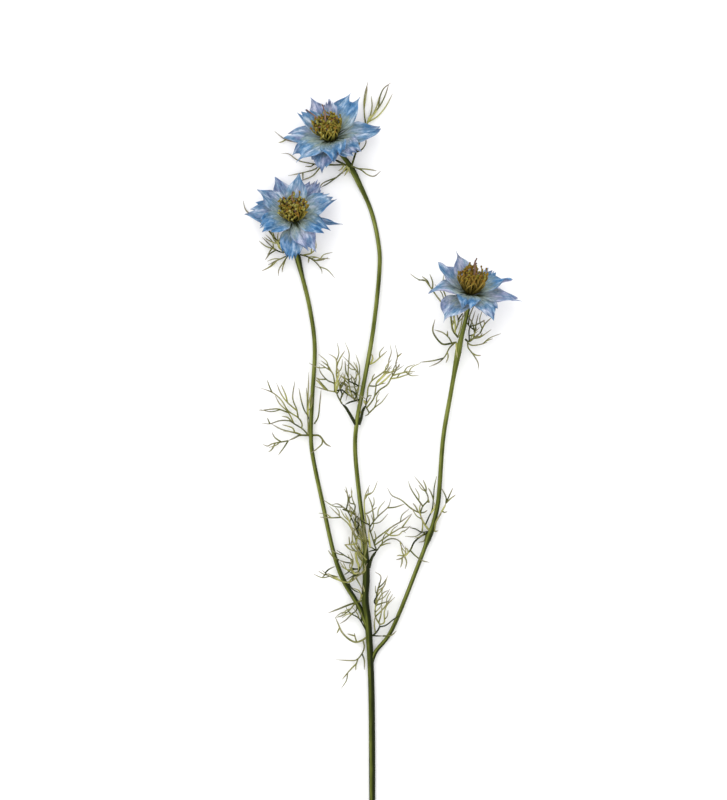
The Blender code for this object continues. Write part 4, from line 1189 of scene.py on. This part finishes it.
def add_thread(shape, route, radii, tones, swell, coloured):
    """A tapering tube whose colour runs from one tone to another, and towards the tip colour if wanted."""
    shares = shares_of(route)
    widths = []
    for share in shares:
        plain = between(radii, share) * (1 + swell * math.sin(math.pi * share))
        widths.append(max(TIP_RADIUS, plain * min(1.0, (1.0 - share) * TIP_TAPER + TIP_SHARE)))
    tone = [between(tones, share) for share in shares]
    shape.tube(route, widths, THREAD_SIDES, along=[share * coloured for share in shares], tone=tone)


def make_frond(name, root_height, threads, material, chance):
    """A leaf or bract: its stalk, the threads that grow from it one after another, then the fine ones."""
    shape = Shape("along", "tone")
    routes = []
    for rise, tone, *points in threads:
        stalk = not routes
        if stalk:
            start = Vector((*points[0], root_height))
        elif len(points[0]) == 3:
            start = Vector(points[0])
        else:
            start = nearest_on(points[0], routes)
        route = thread_route(points, rise, start)
        routes.append(route)
        petiole = stalk and name in BLACK_PETIOLES
        swell = BLADE_SWELL if tone >= BLADE_TONE else 0.0
        shade = PETIOLE_TONE if petiole else tone + chance.uniform(*TONE_CHANCE)
        radii = PETIOLE_RADII if petiole else STALK_RADII if stalk else THREAD_RADII
        coloured = 0.0 if tone <= DARK_TONE else 1.0
        add_thread(shape, route, radii, (shade - ROOT_DARKENING, shade), swell, coloured)
    for _ in range(SIDE_THREADS.get(name, 0)):
        route = side_thread(routes, chance)
        tones = [chance.uniform(*limits) for limits in SIDE_TONES]
        add_thread(shape, route, FINE_RADII, tones, 0.0, 1.0)
    shape.build(name + "_fine", material, name)


def make_floor():
    """The pale floor that the spray lies on."""
    bpy.ops.mesh.primitive_plane_add(size=FLOOR_SIZE, location=(0, 0, 0))
    floor = bpy.context.object
    floor.name = "floor"
    floor.data.materials.append(floor_material())


def area_light(name, location, size, energy):
    """A square soft light, turned to the spray."""
    light = bpy.data.lights.new(name, "AREA")
    light.size = size
    light.energy = energy
    lamp = bpy.data.objects.new(name, light)
    lamp.location = location
    lamp.rotation_euler = (Vector(LIGHT_AIM) - Vector(location)).to_track_quat("-Z", "Y").to_euler()
    bpy.context.scene.collection.objects.link(lamp)


def make_light():
    """Two large soft lights and an even white surround."""
    for name, given in LIGHTS.items():
        area_light(name, *given)
    world = bpy.data.worlds.new("studio")
    world.use_nodes = True
    background = world.node_tree.nodes["Background"]
    background.inputs["Color"].default_value = (1.0, 1.0, 1.0, 1.0)
    background.inputs["Strength"].default_value = SURROUND_STRENGTH
    bpy.context.scene.world = world
    bpy.context.scene.view_settings.view_transform = "Standard"


def make_camera():
    """Straight above the spray, looking down."""
    camera = bpy.data.cameras.new("camera")
    camera.sensor_width = SENSOR_WIDTH
    aim = placed(CAMERA_AIM)
    camera.lens = SENSOR_WIDTH * (CAMERA_HEIGHT - aim.z) / VIEW_LENGTH
    camera.clip_end = CAMERA_REACH
    holder = bpy.data.objects.new("camera", camera)
    holder.location = (aim.x, aim.y, CAMERA_HEIGHT)
    bpy.context.scene.collection.objects.link(holder)
    bpy.context.scene.camera = holder


heads = {name: Head(*given[:3]) for name, given in FLOWERS.items()}
stem_look = stem_material()
for stem_name, (stem_route, carried, stem_widths, stem_shades) in STEMS.items():
    make_stem(stem_name, stem_route, heads[carried], stem_widths, stem_shades, stem_look)

petal_look = petal_material()
pod_look = pod_material()
stamen_look = stamen_material()
for seed_number, (flower_name, given) in enumerate(FLOWERS.items(), start=1):
    flower_head = heads[flower_name]
    chance_source = random.Random(seed_number)
    for number, petal_row in enumerate(given[3], start=1):
        make_petal(f"{flower_name}_petal_{number:02d}", flower_head, petal_row, petal_look, chance_source)
    make_seed_pod(f"{flower_name}_seed_pod", flower_head, given[4], pod_look, chance_source)
    make_stamens(f"{flower_name}_stamens", flower_head, *CROWN_TINTS[flower_name], stamen_look, chance_source)

frond_look = frond_material()
for seed_number, (frond_name, frond_given) in enumerate(FRONDS.items(), start=FIRST_FROND_SEED):
    make_frond(frond_name, *frond_given, frond_look, random.Random(seed_number))

make_floor()
make_light()
make_camera()
